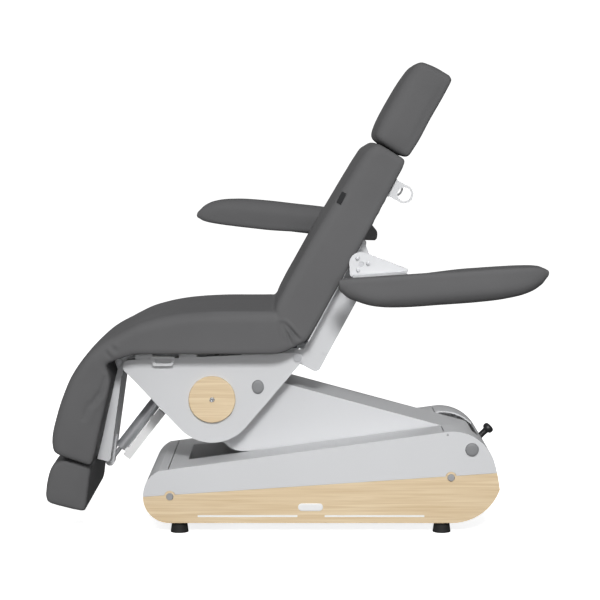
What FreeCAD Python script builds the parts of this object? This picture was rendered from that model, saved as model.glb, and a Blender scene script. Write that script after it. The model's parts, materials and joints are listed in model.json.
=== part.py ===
import FreeCAD
import Part
import math
import os

# Treatment chair in millimetres: X runs from the foot end to the head end, Z is up from the floor.
# The left side of a person in the chair is at negative Y.
V = FreeCAD.Vector

# Fits and cuts
RUN_FIT = 0.06
SOFT_GAP = 0.6
FOLD_GAP = 0.15
SEAM_GAP = 0.4
OVERRUN = 5.0
EYE_GAP = 0.4

# Base: side outline, panels and covers
BASE_HALF_WIDTH = 250.0
BASE_BOTTOM_Z = 30.6
BASE_FRONT_X = -421.0
BASE_REAR_X = 579.5
BASE_BOTTOM_FRONT_X = -346.0
BASE_BOTTOM_REAR_X = 450.0
BASE_END_Z = 106.0
BASE_REAR_END_Z = 125.0
NOSE_X = -377.5
NOSE_Z = 178.0
HUMP_X = 428.0
HUMP_Z = 288.6
HUMP_TOP_X = 479.3
HUMP_TOP_Z = 285.6
HUMP_BACK_X = 525.0
HUMP_BACK_Z = 261.5
HUMP_TURN_X = 548.0
HUMP_TURN_Z = 236.5
HUMP_END_X = 563.0
HUMP_END_Z = 206.0
REAR_MID_X = 573.0
REAR_MID_Z = 166.0
FRONT_MID_DROP = 53.0
FRONT_NOSE_RISE = 36.0
FRONT_NOSE_X = -413.0
FRONT_LOW_MID_X = -400.5
REAR_LOW_MID_X = 541.0
REAR_LOW_MID_Z = 67.0
SPLIT_FRONT_Z = 105.0
SPLIT_REAR_Z = 173.0
PANEL_THICK = 14.0
EAR_RADIUS = 16.0
STANDOFF_FRONT_X = -345.5
STANDOFF_FRONT_Z = 106.0
STANDOFF_REAR_X = 442.5
STANDOFF_REAR_Z = 160.0
STANDOFF_RADIUS = 10.0
STANDOFF_HEAD = 4.0
COVER_THICK = 4.0
LEDGE_WIDTH = 14.0
LEDGE_THICK = 4.0
NOSE_SEAM_X = -352.0
REAR_SEAM_X = 424.0
COVER_SEAM = 3.0
SLOT_FRONT_X = -300.0
SLOT_SIDE_GAP = 5.0
COVER_LOW_Z = 45.0
STRIP_Z = 50.5
STRIP_HEIGHT = 5.5
STRIP_DEPTH = 5.0
STRIP_LENGTH = 280.0
STRIP_FRONT_X = -267.5
STRIP_REAR_X = 88.5
CAP_RADIUS = 19.0
CAP_THICK = 6.0

# Base frame of square tube, towers and lugs
RAIL_SIZE = 40.0
RAIL_BOTTOM_Z = 50.0
RAIL_FRONT_X = -340.0
RAIL_REAR_X = 470.0
TUBE_WALL = 3.0
TOWER_THICK = 10.0
TOWER_SIDE_GAP = 8.0
TOWER_TOP_RADIUS = 20.0
TOWER_FOOT_RADIUS = 10.0
TOWER_FOOT_FRONT_X = 420.0
TOWER_FOOT_REAR_X = 486.0
LUG_THICK = 10.0
LUG_RADIUS = 20.0
FOOT_X_FRONT = -320.5
FOOT_X_REAR = 419.5
FOOT_RADIUS = 25.5
FOOT_TOP_RADIUS = 22.0
FOOT_HEIGHT = 26.0
STUD_RADIUS = 6.0
STUD_NUT_RADIUS = 12.0
STUD_NUT_HEIGHT = 8.0
CONTROL_FRONT_X = -290.0
CONTROL_LENGTH = 110.0
CONTROL_HEIGHT = 60.0
CONTROL_ROUND = 8.0
INLET_WIDTH = 28.0
INLET_HEIGHT = 20.0
INLET_DEPTH = 26.0
INLET_X = 300.0
PEG_X = 547.0
PEG_Z = 237.0
PEG_RADIUS = 9.0
PEG_LENGTH = 25.0
PEG_HEAD_RADIUS = 16.0
PEG_HEAD_THICK = 18.0
PEG_TILT_DEG = 46.0

# Lift arm: a trough that opens downwards, tapering from the seat hub to the base pivot
PIVOT_X = 500.5
PIVOT_Z = 239.0
ARM_LENGTH = 741.0
ARM_REST_DEG = 10.5
ARM_HALF_WIDTH = 120.0
ARM_WALL = 4.0
ARM_NOSE_RADIUS = 86.0
ARM_BELLY = 99.0
ARM_BELLY_DROP = 73.0
ARM_BELLY_RADIUS = 72.0
ARM_TAIL_RADIUS = 26.0
ARM_SLOT_END_X = 532.0
LIFT_SHAFT_RADIUS = 10.0
HUB_SHAFT_RADIUS = 20.0
BUSH_WALL = 5.0
TAIL_BUSH_WALL = 3.0
BOSS_LENGTH = 20.0
BOSS_WALL = 6.0
LIFT_PIN_REACH = 330.0
LIFT_PIN_RADIUS = 10.0
PIN_RADIUS = 8.0

# Levelling link: a bar parallel to the arm that keeps the seat level
LINK_DROP = 60.0
LINK_Y = 60.0
LINK_THICK = 10.0
LINK_HALF_HEIGHT = 13.0
LINK_EYE_RADIUS = 17.0
CRANK_RADIUS = 32.0

# Lift motor between base frame and arm
LIFT_FOOT_X = -140.0
LIFT_FOOT_Z = 92.0
LIFT_TUBE_RADIUS = 25.0
LIFT_BORE_RADIUS = 22.0
LIFT_TUBE_LENGTH = 270.0
LIFT_ROD_RADIUS = 11.0
LIFT_ROD_LENGTH = 270.0
MOTOR_RADIUS = 27.0
MOTOR_LENGTH = 90.0
MOTOR_DROP = 20.0
EYE_RADIUS = 17.0
EYE_HALF_THICK = 12.0

# Seat carriage
HUB_RADIUS = 124.0
SEAT_PLATE_IN = 80.0
PLATE_THICK = 4.0
PLATE_RIM = 30.0
FRONT_TIP_DX = -233.5
FRONT_TIP_DZ = 93.0
FRONT_TIP_RADIUS = 18.0
REAR_TIP_DX = 238.5
REAR_TIP_DZ = 115.0
REAR_TIP_RADIUS = 17.0
RIM_OPENING_RADIUS = 80.0
DISC_RADIUS = 66.0
DISC_THICK = 10.0
DISC_EDGE = 2.0
HUB_SCREW_RADIUS = 7.0
HUB_SCREW_HEAD = 3.0
SEAT_CAP_DX = 129.0
SEAT_CAP_DZ = 35.0
SEAT_CAP_RADIUS = 18.0
LOOP_DX = -137.0
LOOP_TOP_DZ = 123.0
LOOP_LENGTH = 70.0
LOOP_FOOT_LENGTH = 56.0
LOOP_HEIGHT = 27.0
LOOP_WALL = 8.0
LOOP_STANDOFF = 8.0
LOOP_THICK = 8.0
CROSSBAR_WIDTH = 50.0
CROSSBAR_THICK = 9.0
CROSSBAR_DX_SHARES = (-0.82, -0.3, 0.45)
BOARD_THICK = 14.0
BOARD_EDGE = 26.0

# Hinges of leg rest and back, from the hub
KNEE_DX = -268.5
KNEE_DZ = 96.0
BACK_HINGE_DX = 240.5
BACK_HINGE_DZ = 118.0
LEG_REST_DEG = 75.0
BACK_REST_DEG = 61.9
HINGE_PIN_RADIUS = 8.0
HINGE_PIN_HEAD = 12.0
HINGE_HEAD_THICK = 4.0

# Upholstery of seat and knee, from the hub
SEAT_HALF_WIDTH = 280.0
PAD_ROLL = 20.0
PAD_INSET = 9.0
PAD_CROWN = 5.0
SEAT_UNDER_DZ = 135.5
SEAT_TOP_DZ = 250.0
KNEE_TOP_RISE = 96.0
KNEE_INNER = 24.0
KNEE_SPAN = 82.0
KNEE_MID_DX = -48.0
KNEE_MID_DZ = 55.0
KNEE_ROUND = 60.0
CREASE_LOW_DX = 246.0
CREASE_LOW_DZ = 162.0
CREASE_TOP_DX = 179.0
UNDER_REAR_DX = 190.0
UNDER_FRONT_DX = -222.0
SEAT_TOP_FRONT_DX = -95.0
SEAT_SLOPE_DX = -212.0
SEAT_SLOPE_DZ = 226.0
SEAT_TOP_ROUND = 240.0
SEAT_SLOPE_ROUND = 200.0
UNDER_ROUND = 16.0
CREASE_ROUND = 7.0

# Leg rest, laid flat from the knee hinge towards the foot
LEG_PAD_END = 281.0
LEG_PAD_TOP_MID = 112.0
LEG_PAD_TOP_END = 104.0
LEG_PAD_TOP_START = 84.0
LEG_PAD_TOP_NEAR = 103.0
LEG_PAD_NEAR = 62.0
LEG_PAD_MID = 175.0
LEG_PAD_UNDER = 8.0
LEG_CHAMFER = 34.0
LEG_END_ROUND = 26.0
LEG_TOP_ROUND = 120.0
LEG_BOX_HALF_WIDTH = 107.0
LEG_BOX_WALL = 4.0
LEG_BOX_END = 290.0
LEG_BOX_START = 24.0
LEG_BOX_DEPTH_START = 14.0
LEG_BOX_DEPTH_END = 46.0
LEG_BOX_ROUND = 10.0
LEG_EAR_RADIUS = 13.0
LEG_BOARD_IN = 40.0
LEG_BOARD_THICK = 8.0
LEG_NOTCH_HALF_WIDTH = 30.0
LEG_NOTCH_LENGTH = 66.0
CLEVIS_REACH = 306.0
CLEVIS_DROP = 41.0
CLEVIS_GAP = 13.0
CLEVIS_EAR = 6.0
CLEVIS_RADIUS = 13.0
KNEE_LUG_THICK = 6.0
KNEE_LUG_RADIUS = 12.0

# Foot pad on slide bars, laid flat from the knee hinge
FOOT_PAD_START = 286.0
FOOT_PAD_END = 420.0
FOOT_PAD_TOP = 102.0
FOOT_PAD_MID = 360.0
FOOT_PAD_END_TOP = 88.0
FOOT_PAD_UNDER_START = -5.0
FOOT_PAD_UNDER_END = -21.0
FOOT_IN = 30.0
FOOT_START_ROUND = 36.0
FOOT_MID_ROUND = 60.0
FOOT_END_ROUND = 24.0
FOOT_UNDER_ROUND = 8.0
FOOT_BAR_RADIUS = 8.0
FOOT_BAR_Y = 150.0
FOOT_BAR_HEIGHT = 26.0
FOOT_BAR_LENGTH = 190.0
FOOT_BAR_IN_PAD = 70.0
FOOT_GUIDE_WALL = 4.0
FOOT_GUIDE_LENGTH = 120.0

# Leg motor between seat and leg clevis
LEG_MOTOR_DX = -126.8
LEG_MOTOR_DZ = 23.0
LEG_TUBE_RADIUS = 17.6
LEG_BORE_RADIUS = 16.6
LEG_MOUTH_GAP = 50.0
LEG_ROD_RADIUS = 6.3
LEG_ROD_LENGTH = 235.0
LEG_TRUNK_OFFSET = 31.0
LEG_TRUNK_WIDTH = 24.0
LEG_TRUNK_DEPTH = 22.0
LEG_TRUNK_LENGTH = 170.0
LEG_TRUNK_OVERHANG = 12.0
LEG_BAND_LENGTH = 14.0
MOTOR_LUG_THICK = 6.0

# Back rest, laid flat from its hinge towards the head
BACK_PAD_UNDER = 0.0
BACK_PAD_TOP = 129.7
BACK_PAD_END = 628.0
BACK_PAD_END_ROUND = 10.0
BACK_TOP_ROUND = 22.0
BACK_PAD_LEAN = 8.0
BACK_FRONT_ROUND = 36.0
BACK_PAD_START = 66.0
BACK_START_ROUND = 24.0
BACK_BOARD_START = 62.0
BACK_BOARD_THICK = 4.0
BACK_BOARD_EDGE = 18.0
BACK_PLATE_IN = 16.0
BACK_PLATE_THICK = 6.0
BACK_PLATE_DEPTH = 72.0
BACK_PLATE_TOP_A = 372.0
BACK_PLATE_FULL_A = 325.0
BACK_PLATE_ROUND = 16.0
BACK_BAR_RADIUS = 12.0
BACK_BAR_A_SHARES = (0.32, 0.72)
BACK_BAR_B = -32.0
BACK_SCREW_A = 48.0
BACK_SCREW_B = -60.0
BACK_SCREW_RADIUS = 6.0
BACK_SCREW_HEAD = 3.0
LEVER_A = 37.0
LEVER_B = -56.0
LEVER_IN = 34.0

# Back motor on the right side of the seat
BACK_MOTOR_DX = -1.5
BACK_MOTOR_DZ = 96.0
BACK_TUBE_RADIUS = 14.0
BACK_BORE_RADIUS = 11.5
BACK_MOUTH_GAP = 70.0
BACK_ROD_RADIUS = 7.0
BACK_ROD_LENGTH = 190.0
BACK_EYE_RADIUS = 13.0

# Head rest on bars that slide in guides in the back
HEAD_START = 633.0
HEAD_LENGTH = 246.0
HEAD_HALF_WIDTH = 200.0
HEAD_UNDER = -5.0
HEAD_THICK = 107.0
HEAD_ROUND = 26.0
HEAD_BAR_Y = 70.0
HEAD_BAR_RADIUS = 8.0
HEAD_BAR_B = 42.0
HEAD_BAR_LENGTH = 300.0
HEAD_BAR_IN_PAD = 120.0
GUIDE_WALL = 4.0
GUIDE_LENGTH = 200.0

# Paper roll rings behind the back
RING_A = 545.0
RING_B = -43.0
RING_RADIUS = 25.0
RING_HOLE_RADIUS = 19.0
RING_EDGE = 28.0
RING_THICK = 4.0
RING_FOOT_HALF = 27.0

# Armrests: each turns about a post on the back plate, drawn pointing forwards
ARMREST_A = 321.5
ARMREST_B = -26.7
ARMREST_HALF_WIDTH = 55.0
ARMREST_SIDE_GAP = 16.0
ARMREST_PAD_OUT = 100.0
ARMREST_UNDER = 33.0
ARMREST_TOP = 110.0
ARMREST_TIP = 500.0
ARMREST_ROOT = 73.0
ARMREST_TOP_NEAR = 94.0
ARMREST_TOP_FAR = 372.0
ARMREST_TIP_DROP = 34.0
ARMREST_TIP_ROUND = 34.0
ARMREST_ROOT_RISE = 14.0
ARMREST_ROUND = 160.0
ARMREST_ROOT_ROUND = 8.0
ARMREST_ROLL = 26.0
ARMREST_INSET = 8.0
ARMREST_BOARD_THICK = 4.0
ARMREST_BOARD_EDGE = 14.0
ARMREST_BRACKET_THICK = 6.0
ARMREST_DISC_RADIUS = 33.0
ARMREST_REACH = 127.0
ARMREST_NOSE_RADIUS = 7.0
ARMREST_FLANGE_THICK = 5.0
ARMREST_POST_RADIUS = 14.0
ARMREST_PIN_RADIUS = 8.0
ARMREST_PIN_HEAD = 3.0
ARMREST_BOLT_CIRCLE = 19.0
ARMREST_BOLT_RADIUS = 5.0
ARMREST_BOLT_COUNT = 3
ARMREST_LEFT_DEG = 176.2
ARMREST_RIGHT_DEG = 6.6

ROLL_SHARES = (0.0, 0.12, 0.42, 1.0)
INSET_SHARES = (1.0, 0.48, 0.1, 0.0)
HALF_TURN = 180.0
CORNER_SHARE = 0.46

# Places worked out from the values above
HUB_X = PIVOT_X - ARM_LENGTH * math.cos(math.radians(ARM_REST_DEG))
HUB_Z = PIVOT_Z + ARM_LENGTH * math.sin(math.radians(ARM_REST_DEG))
KNEE_X = HUB_X + KNEE_DX
KNEE_Z = HUB_Z + KNEE_DZ
BACK_X = HUB_X + BACK_HINGE_DX
BACK_Z = HUB_Z + BACK_HINGE_DZ
SEAT_UNDER_Z = HUB_Z + SEAT_UNDER_DZ
SEAT_PLATE_Y = SEAT_HALF_WIDTH - SEAT_PLATE_IN
SEAT_INNER_Y = SEAT_PLATE_Y - PLATE_THICK
BACK_PLATE_Y = SEAT_PLATE_Y - BACK_PLATE_IN
LEVER_Y = BACK_PLATE_Y - LEVER_IN
RING_Y = SEAT_HALF_WIDTH - RING_EDGE
ARMREST_BRACKET_Y = SEAT_HALF_WIDTH + ARMREST_SIDE_GAP
ARMREST_Y = ARMREST_BRACKET_Y + ARMREST_PAD_OUT
LEG_BOARD_HALF_WIDTH = SEAT_HALF_WIDTH - LEG_BOARD_IN
FOOT_HALF_WIDTH = SEAT_HALF_WIDTH - FOOT_IN
SLOT_HALF = ARM_HALF_WIDTH + SLOT_SIDE_GAP
BASE_TOP_Z = HUMP_Z + 2 * OVERRUN
BACK_REAR = BACK_PAD_UNDER - BACK_BOARD_THICK


def turn(point, degrees):
    """A side-view point turned about the origin, right-handed about +Y."""
    angle = math.radians(degrees)
    x = point[0] * math.cos(angle) + point[1] * math.sin(angle)
    z = point[1] * math.cos(angle) - point[0] * math.sin(angle)
    return x, z


def plus(point, other):
    return point[0] + other[0], point[1] + other[1]


def corner_arc(before, corner, after):
    """Start, middle and end of the arc that rounds a corner, cut short where its sides are too short."""
    here = V(corner[0], 0, corner[1])
    one = V(before[0], 0, before[1]) - here
    two = V(after[0], 0, after[1]) - here
    half = one.getAngle(two) / 2
    reach = min(corner[2] / math.tan(half), one.Length * CORNER_SHARE, two.Length * CORNER_SHARE)
    radius = reach * math.tan(half)
    one.normalize()
    two.normalize()
    middle = one + two
    middle.normalize()
    to_arc = radius / math.sin(half) - radius
    return here + one * reach, here + middle * to_arc, here + two * reach


def rounded_wire(corners, y=0):
    """Closed side-view outline of straight sides, each corner (x, z, radius) rounded by an arc."""
    arcs = []
    count = len(corners)
    for i, corner in enumerate(corners):
        before, after = corners[i - 1], corners[(i + 1) % count]
        if corner[2] > 0:
            arcs.append(corner_arc(before, corner, after))
        else:
            point = V(corner[0], 0, corner[1])
            arcs.append((point, None, point))
    edges = []
    for i, (start, middle, end) in enumerate(arcs):
        if middle is not None:
            edges.append(Part.Arc(start, middle, end).toShape())
        following = arcs[(i + 1) % count][0]
        if end.distanceToPoint(following) > RUN_FIT:
            edges.append(Part.LineSegment(end, following).toShape())
    wire = Part.Wire(edges)
    wire.translate(V(0, y, 0))
    return wire


def plate(wire, y0, y1):
    """The outline as a plate from y0 to y1."""
    face = Part.Face(wire)
    face.translate(V(0, y0, 0))
    return face.extrude(V(0, y1 - y0, 0))


def box(x0, x1, y0, y1, z0, z1):
    return Part.makeBox(x1 - x0, y1 - y0, z1 - z0, V(x0, y0, z0))


def round_y(x, z, radius, y0, y1):
    """A round bar along Y."""
    return Part.makeCylinder(radius, y1 - y0, V(x, y0, z), V(0, 1, 0))


def ring_y(x, z, radius, bore, y0, y1):
    return round_y(x, z, radius, y0, y1).cut(round_y(x, z, bore, y0 - OVERRUN, y1 + OVERRUN))


def circle_hull(circles):
    """Outline drawn tight round circles (x, z, radius), which are listed anticlockwise."""
    tangents = []
    count = len(circles)
    for i, (x, z, radius) in enumerate(circles):
        x2, z2, radius2 = circles[(i + 1) % count]
        heading = math.atan2(z2 - z, x2 - x)
        lean = math.asin((radius - radius2) / math.hypot(x2 - x, z2 - z))
        side = heading - math.pi / 2 + lean
        first = V(x + radius * math.cos(side), 0, z + radius * math.sin(side))
        second = V(x2 + radius2 * math.cos(side), 0, z2 + radius2 * math.sin(side))
        tangents.append((first, second, side))
    edges = []
    for i in range(count):
        first, second, side = tangents[i]
        edges.append(Part.LineSegment(first, second).toShape())
        following = tangents[(i + 1) % count]
        sweep = (following[2] - side) % (2 * math.pi)
        x, z, radius = circles[(i + 1) % count]
        middle = V(x + radius * math.cos(side + sweep / 2), 0, z + radius * math.sin(side + sweep / 2))
        edges.append(Part.Arc(second, middle, following[0]).toShape())
    return Part.Wire(edges)


def mirrored(shape):
    return shape.mirror(V(0, 0, 0), V(0, 1, 0))


def both_sides(shape):
    return [shape, mirrored(shape)]


def group(shapes):
    return Part.makeCompound(shapes)


def fused(shapes):
    whole = shapes[0].multiFuse(shapes[1:])
    return whole.removeSplitter()


def inset_corners(corners, inset, crown):
    """Pad corners (x, z, radius, crown share, side share) with each side drawn in and the top raised."""
    raised = [(c[0], c[1] + crown * c[3]) for c in corners]
    count = len(corners)
    sides = []
    for i in range(count):
        x, z = raised[i]
        x2, z2 = raised[(i + 1) % count]
        length = math.hypot(x2 - x, z2 - z)
        along = ((x2 - x) / length, (z2 - z) / length)
        shift = inset * corners[i][4]
        sides.append((x - along[1] * shift, z + along[0] * shift, along))
    result = []
    for i in range(count):
        x, z, along = sides[i - 1]
        x2, z2, along2 = sides[i]
        cross = along[0] * along2[1] - along[1] * along2[0]
        reach = ((x2 - x) * along2[1] - (z2 - z) * along2[0]) / cross
        result.append((x + along[0] * reach, z + along[1] * reach, corners[i][2]))
    return result


def pad(corners, half_width, roll=PAD_ROLL, inset=PAD_INSET, crown=PAD_CROWN, middle_y=0):
    """A crowned cushion: its side outline is drawn in over rolled edges and swells towards the middle."""
    stations = [(-half_width + roll * r, inset * i) for r, i in zip(ROLL_SHARES, INSET_SHARES)]
    places = stations + [(0, 0)] + [(-y, i) for y, i in reversed(stations)]
    wires = []
    for y, drawn_in in places:
        swell = crown * (1 - (y / half_width) ** 2)
        wires.append(rounded_wire(inset_corners(corners, drawn_in, swell), y + middle_y))
    return Part.makeLoft(wires, True, True)


def on_back(shape):
    """A piece drawn on the back laid flat, brought to the resting slope."""
    shape.rotate(V(0, 0, 0), V(0, 1, 0), -BACK_REST_DEG)
    shape.translate(V(BACK_X, 0, BACK_Z))
    return shape


def on_leg(shape):
    """A piece drawn on the leg rest laid flat, brought to the resting slope."""
    shape.rotate(V(0, 0, 0), V(0, 1, 0), -LEG_REST_DEG)
    shape.translate(V(KNEE_X, 0, KNEE_Z))
    return shape


def back_point(a, b):
    return plus(turn((a, b), -BACK_REST_DEG), (BACK_X, BACK_Z))


def leg_point(x, z):
    return plus(turn((x, z), -LEG_REST_DEG), (KNEE_X, KNEE_Z))


def base_outline(inset=0):
    """Side outline of the base: round front end, rising deck, hump and round rear end."""
    bottom_front = V(BASE_BOTTOM_FRONT_X, 0, BASE_BOTTOM_Z)
    bottom_rear = V(BASE_BOTTOM_REAR_X, 0, BASE_BOTTOM_Z)
    rear_end = V(BASE_REAR_X, 0, BASE_REAR_END_Z)
    hump_end = V(HUMP_END_X, 0, HUMP_END_Z)
    hump_back = V(HUMP_BACK_X, 0, HUMP_BACK_Z)
    hump = V(HUMP_X, 0, HUMP_Z)
    nose = V(NOSE_X, 0, NOSE_Z)
    front_end = V(BASE_FRONT_X, 0, BASE_END_Z)
    front_nose = V(FRONT_NOSE_X, 0, BASE_END_Z + FRONT_NOSE_RISE)
    front_low = V(FRONT_LOW_MID_X, 0, BASE_END_Z - FRONT_MID_DROP)
    edges = [
        Part.LineSegment(bottom_front, bottom_rear),
        Part.Arc(bottom_rear, V(REAR_LOW_MID_X, 0, REAR_LOW_MID_Z), rear_end),
        Part.Arc(rear_end, V(REAR_MID_X, 0, REAR_MID_Z), hump_end),
        Part.Arc(hump_end, V(HUMP_TURN_X, 0, HUMP_TURN_Z), hump_back),
        Part.Arc(hump_back, V(HUMP_TOP_X, 0, HUMP_TOP_Z), hump),
        Part.LineSegment(hump, nose),
        Part.Arc(nose, front_nose, front_end),
        Part.Arc(front_end, front_low, bottom_front),
    ]
    outline = Part.Wire([edge.toShape() for edge in edges])
    return outline.makeOffset2D(-inset) if inset else outline


def below_split(gap):
    """Wide block under the line where the wooden panel meets the painted skin."""
    slope = (SPLIT_REAR_Z - SPLIT_FRONT_Z) / (BASE_REAR_X - BASE_FRONT_X)
    low = [
        V(BASE_FRONT_X - OVERRUN, 0, -OVERRUN),
        V(BASE_REAR_X + OVERRUN, 0, -OVERRUN),
        V(BASE_REAR_X + OVERRUN, 0, SPLIT_REAR_Z + slope * OVERRUN + gap),
        V(BASE_FRONT_X - OVERRUN, 0, SPLIT_FRONT_Z - slope * OVERRUN + gap),
    ]
    return Part.makePolygon(low + [low[0]])


def panel_region(gap, y0, y1):
    """The wooden panel's share of the side: all below the split line, with an ear round each standoff."""
    region = plate(below_split(gap), y0, y1)
    ears = [
        round_y(STANDOFF_FRONT_X, STANDOFF_FRONT_Z, EAR_RADIUS + gap, y0, y1),
        round_y(STANDOFF_REAR_X, STANDOFF_REAR_Z, EAR_RADIUS + gap, y0, y1),
    ]
    return region.multiFuse(ears)


def strip_boxes(y0, y1):
    boxes = []
    for start in (STRIP_FRONT_X, STRIP_REAR_X):
        low = STRIP_Z - STRIP_HEIGHT / 2
        boxes.append(box(start, start + STRIP_LENGTH, y0, y1, low, low + STRIP_HEIGHT))
    return boxes


def standoff_places():
    return [(STANDOFF_FRONT_X, STANDOFF_FRONT_Z), (STANDOFF_REAR_X, STANDOFF_REAR_Z)]


def side_panel():
    """Left wooden side panel with grooves for the light strips and holes for its standoffs."""
    outer, inner = -BASE_HALF_WIDTH, -BASE_HALF_WIDTH + PANEL_THICK
    panel = plate(base_outline(), outer, inner).common(panel_region(0, outer, inner))
    for groove in strip_boxes(outer - OVERRUN, outer + STRIP_DEPTH):
        panel = panel.cut(groove)
    for x, z in standoff_places():
        panel = panel.cut(round_y(x, z, STANDOFF_RADIUS / 2 + RUN_FIT, outer - OVERRUN, inner + OVERRUN))
    return panel


def light_strips():
    outer = -BASE_HALF_WIDTH
    left = strip_boxes(outer, outer + STRIP_DEPTH)
    return group(left + [mirrored(s) for s in left])


def side_skin():
    """Left painted skin above the wooden panel, with a ledge inside that carries the covers."""
    outer, inner = -BASE_HALF_WIDTH, -BASE_HALF_WIDTH + PANEL_THICK
    skin = plate(base_outline(), outer, inner)
    ledge_in = inner + LEDGE_WIDTH
    ledge = plate(base_outline(COVER_THICK), inner, ledge_in)
    hollow = base_outline(COVER_THICK + LEDGE_THICK)
    ledge = ledge.cut(plate(hollow, inner - OVERRUN, ledge_in + OVERRUN))
    whole = fused([skin, ledge])
    return whole.cut(panel_region(SEAM_GAP, outer - OVERRUN, ledge_in + OVERRUN))


def cover_shell():
    """The painted sheet that follows the base between its two sides, without its underside."""
    half = BASE_HALF_WIDTH - PANEL_THICK - SEAM_GAP
    shell = plate(base_outline(), -half, half)
    return shell.cut(plate(base_outline(COVER_THICK), -half - OVERRUN, half + OVERRUN))


def cover_piece(x0, x1):
    half = BASE_HALF_WIDTH
    return cover_shell().common(box(x0, x1, -half, half, COVER_LOW_Z, BASE_TOP_Z))


def deck_cover():
    """Middle cover with the long slot that the lift arm works through."""
    cover = cover_piece(NOSE_SEAM_X + COVER_SEAM, REAR_SEAM_X - COVER_SEAM)
    return cover.cut(box(SLOT_FRONT_X, REAR_SEAM_X + OVERRUN, -SLOT_HALF, SLOT_HALF, 0, BASE_TOP_Z))


def rear_cover():
    """Rear hump cover round the end of the base, with the end of the arm's slot and a hole for the peg."""
    cover = cover_piece(REAR_SEAM_X, BASE_REAR_X)
    start = REAR_SEAM_X - OVERRUN
    cover = cover.cut(box(start, ARM_SLOT_END_X, -SLOT_HALF, SLOT_HALF, PIVOT_Z, BASE_TOP_Z))
    return cover.cut(peg_stem(PEG_RADIUS + RUN_FIT))


def peg_axis():
    angle = math.radians(PEG_TILT_DEG)
    return V(math.sin(angle), 0, math.cos(angle))


def peg_stem(radius):
    axis = peg_axis()
    return Part.makeCylinder(radius, PEG_LENGTH + PEG_RADIUS, V(PEG_X, 0, PEG_Z) - axis * PEG_RADIUS, axis)


def cord_peg():
    """Peg with a mushroom head and a flange that sits on the rear cover."""
    axis = peg_axis()
    top = V(PEG_X, 0, PEG_Z) + axis * PEG_LENGTH
    head = Part.makeCylinder(PEG_HEAD_RADIUS, PEG_HEAD_THICK, top, axis)
    rims = [e for e in head.Edges if e.Closed]
    head = head.makeChamfer(PEG_HEAD_THICK / 3, rims)
    return fused([peg_stem(PEG_RADIUS), head])


def base_frame():
    """Welded frame: rails, cross tubes, two towers for the arm's shaft, and lugs for link and motor."""
    top = RAIL_BOTTOM_Z + RAIL_SIZE
    outer = BASE_HALF_WIDTH - PANEL_THICK
    pieces = []
    for low in (-outer, outer - RAIL_SIZE):
        pieces.append(box(RAIL_FRONT_X, RAIL_REAR_X, low, low + RAIL_SIZE, RAIL_BOTTOM_Z, top))
    for start in (RAIL_FRONT_X, RAIL_REAR_X - RAIL_SIZE):
        pieces.append(box(start, start + RAIL_SIZE, -outer, outer, RAIL_BOTTOM_Z, top))
    motor_cross = LIFT_FOOT_X - RAIL_SIZE / 2
    cross_top = LIFT_FOOT_Z - EYE_RADIUS - EYE_GAP
    pieces.append(box(motor_cross, motor_cross + RAIL_SIZE, -outer, outer, RAIL_BOTTOM_Z, cross_top))
    tower = circle_hull([
        (TOWER_FOOT_FRONT_X, top + TOWER_FOOT_RADIUS, TOWER_FOOT_RADIUS),
        (TOWER_FOOT_REAR_X, top + TOWER_FOOT_RADIUS, TOWER_FOOT_RADIUS),
        (PIVOT_X, PIVOT_Z, TOWER_TOP_RADIUS),
    ])
    near = ARM_HALF_WIDTH + TOWER_SIDE_GAP
    for low in (-near - TOWER_THICK, near):
        pieces.append(plate(tower, low, low + TOWER_THICK))
    link_lug = circle_hull([
        (TOWER_FOOT_FRONT_X, top + TOWER_FOOT_RADIUS, TOWER_FOOT_RADIUS),
        (TOWER_FOOT_REAR_X, top + TOWER_FOOT_RADIUS, TOWER_FOOT_RADIUS),
        (PIVOT_X, PIVOT_Z - LINK_DROP, LUG_RADIUS),
    ])
    lug_y = LINK_Y - EYE_GAP
    pieces.append(plate(link_lug, lug_y - LUG_THICK, lug_y))
    motor_lug = circle_hull([
        (motor_cross, RAIL_BOTTOM_Z + TOWER_FOOT_RADIUS, TOWER_FOOT_RADIUS),
        (motor_cross + RAIL_SIZE, RAIL_BOTTOM_Z + TOWER_FOOT_RADIUS, TOWER_FOOT_RADIUS),
        (LIFT_FOOT_X, LIFT_FOOT_Z, EYE_RADIUS),
    ])
    for low in (-EYE_HALF_THICK - EYE_GAP - LUG_THICK, EYE_HALF_THICK + EYE_GAP):
        pieces.append(plate(motor_lug, low, low + LUG_THICK))
    frame = fused(pieces)
    reach = BASE_HALF_WIDTH
    frame = frame.cut(round_y(PIVOT_X, PIVOT_Z, LIFT_SHAFT_RADIUS + RUN_FIT, -reach, reach))
    frame = frame.cut(round_y(PIVOT_X, PIVOT_Z - LINK_DROP, PIN_RADIUS + RUN_FIT, -reach, reach))
    frame = frame.cut(round_y(LIFT_FOOT_X, LIFT_FOOT_Z, PIN_RADIUS + RUN_FIT, -reach, reach))
    for x, y in foot_places():
        stud = STUD_RADIUS + RUN_FIT
        frame = frame.cut(Part.makeCylinder(stud, RAIL_SIZE, V(x, y, RAIL_BOTTOM_Z - OVERRUN)))
    return frame


def foot_places():
    y = BASE_HALF_WIDTH - PANEL_THICK - RAIL_SIZE / 2
    return [(x, side * y) for x in (FOOT_X_FRONT, FOOT_X_REAR) for side in (-1, 1)]


def rubber_feet():
    feet = []
    for x, y in foot_places():
        foot = Part.makeCone(FOOT_RADIUS, FOOT_TOP_RADIUS, FOOT_HEIGHT, V(x, y, 0))
        feet.append(foot)
    return group(feet)


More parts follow.
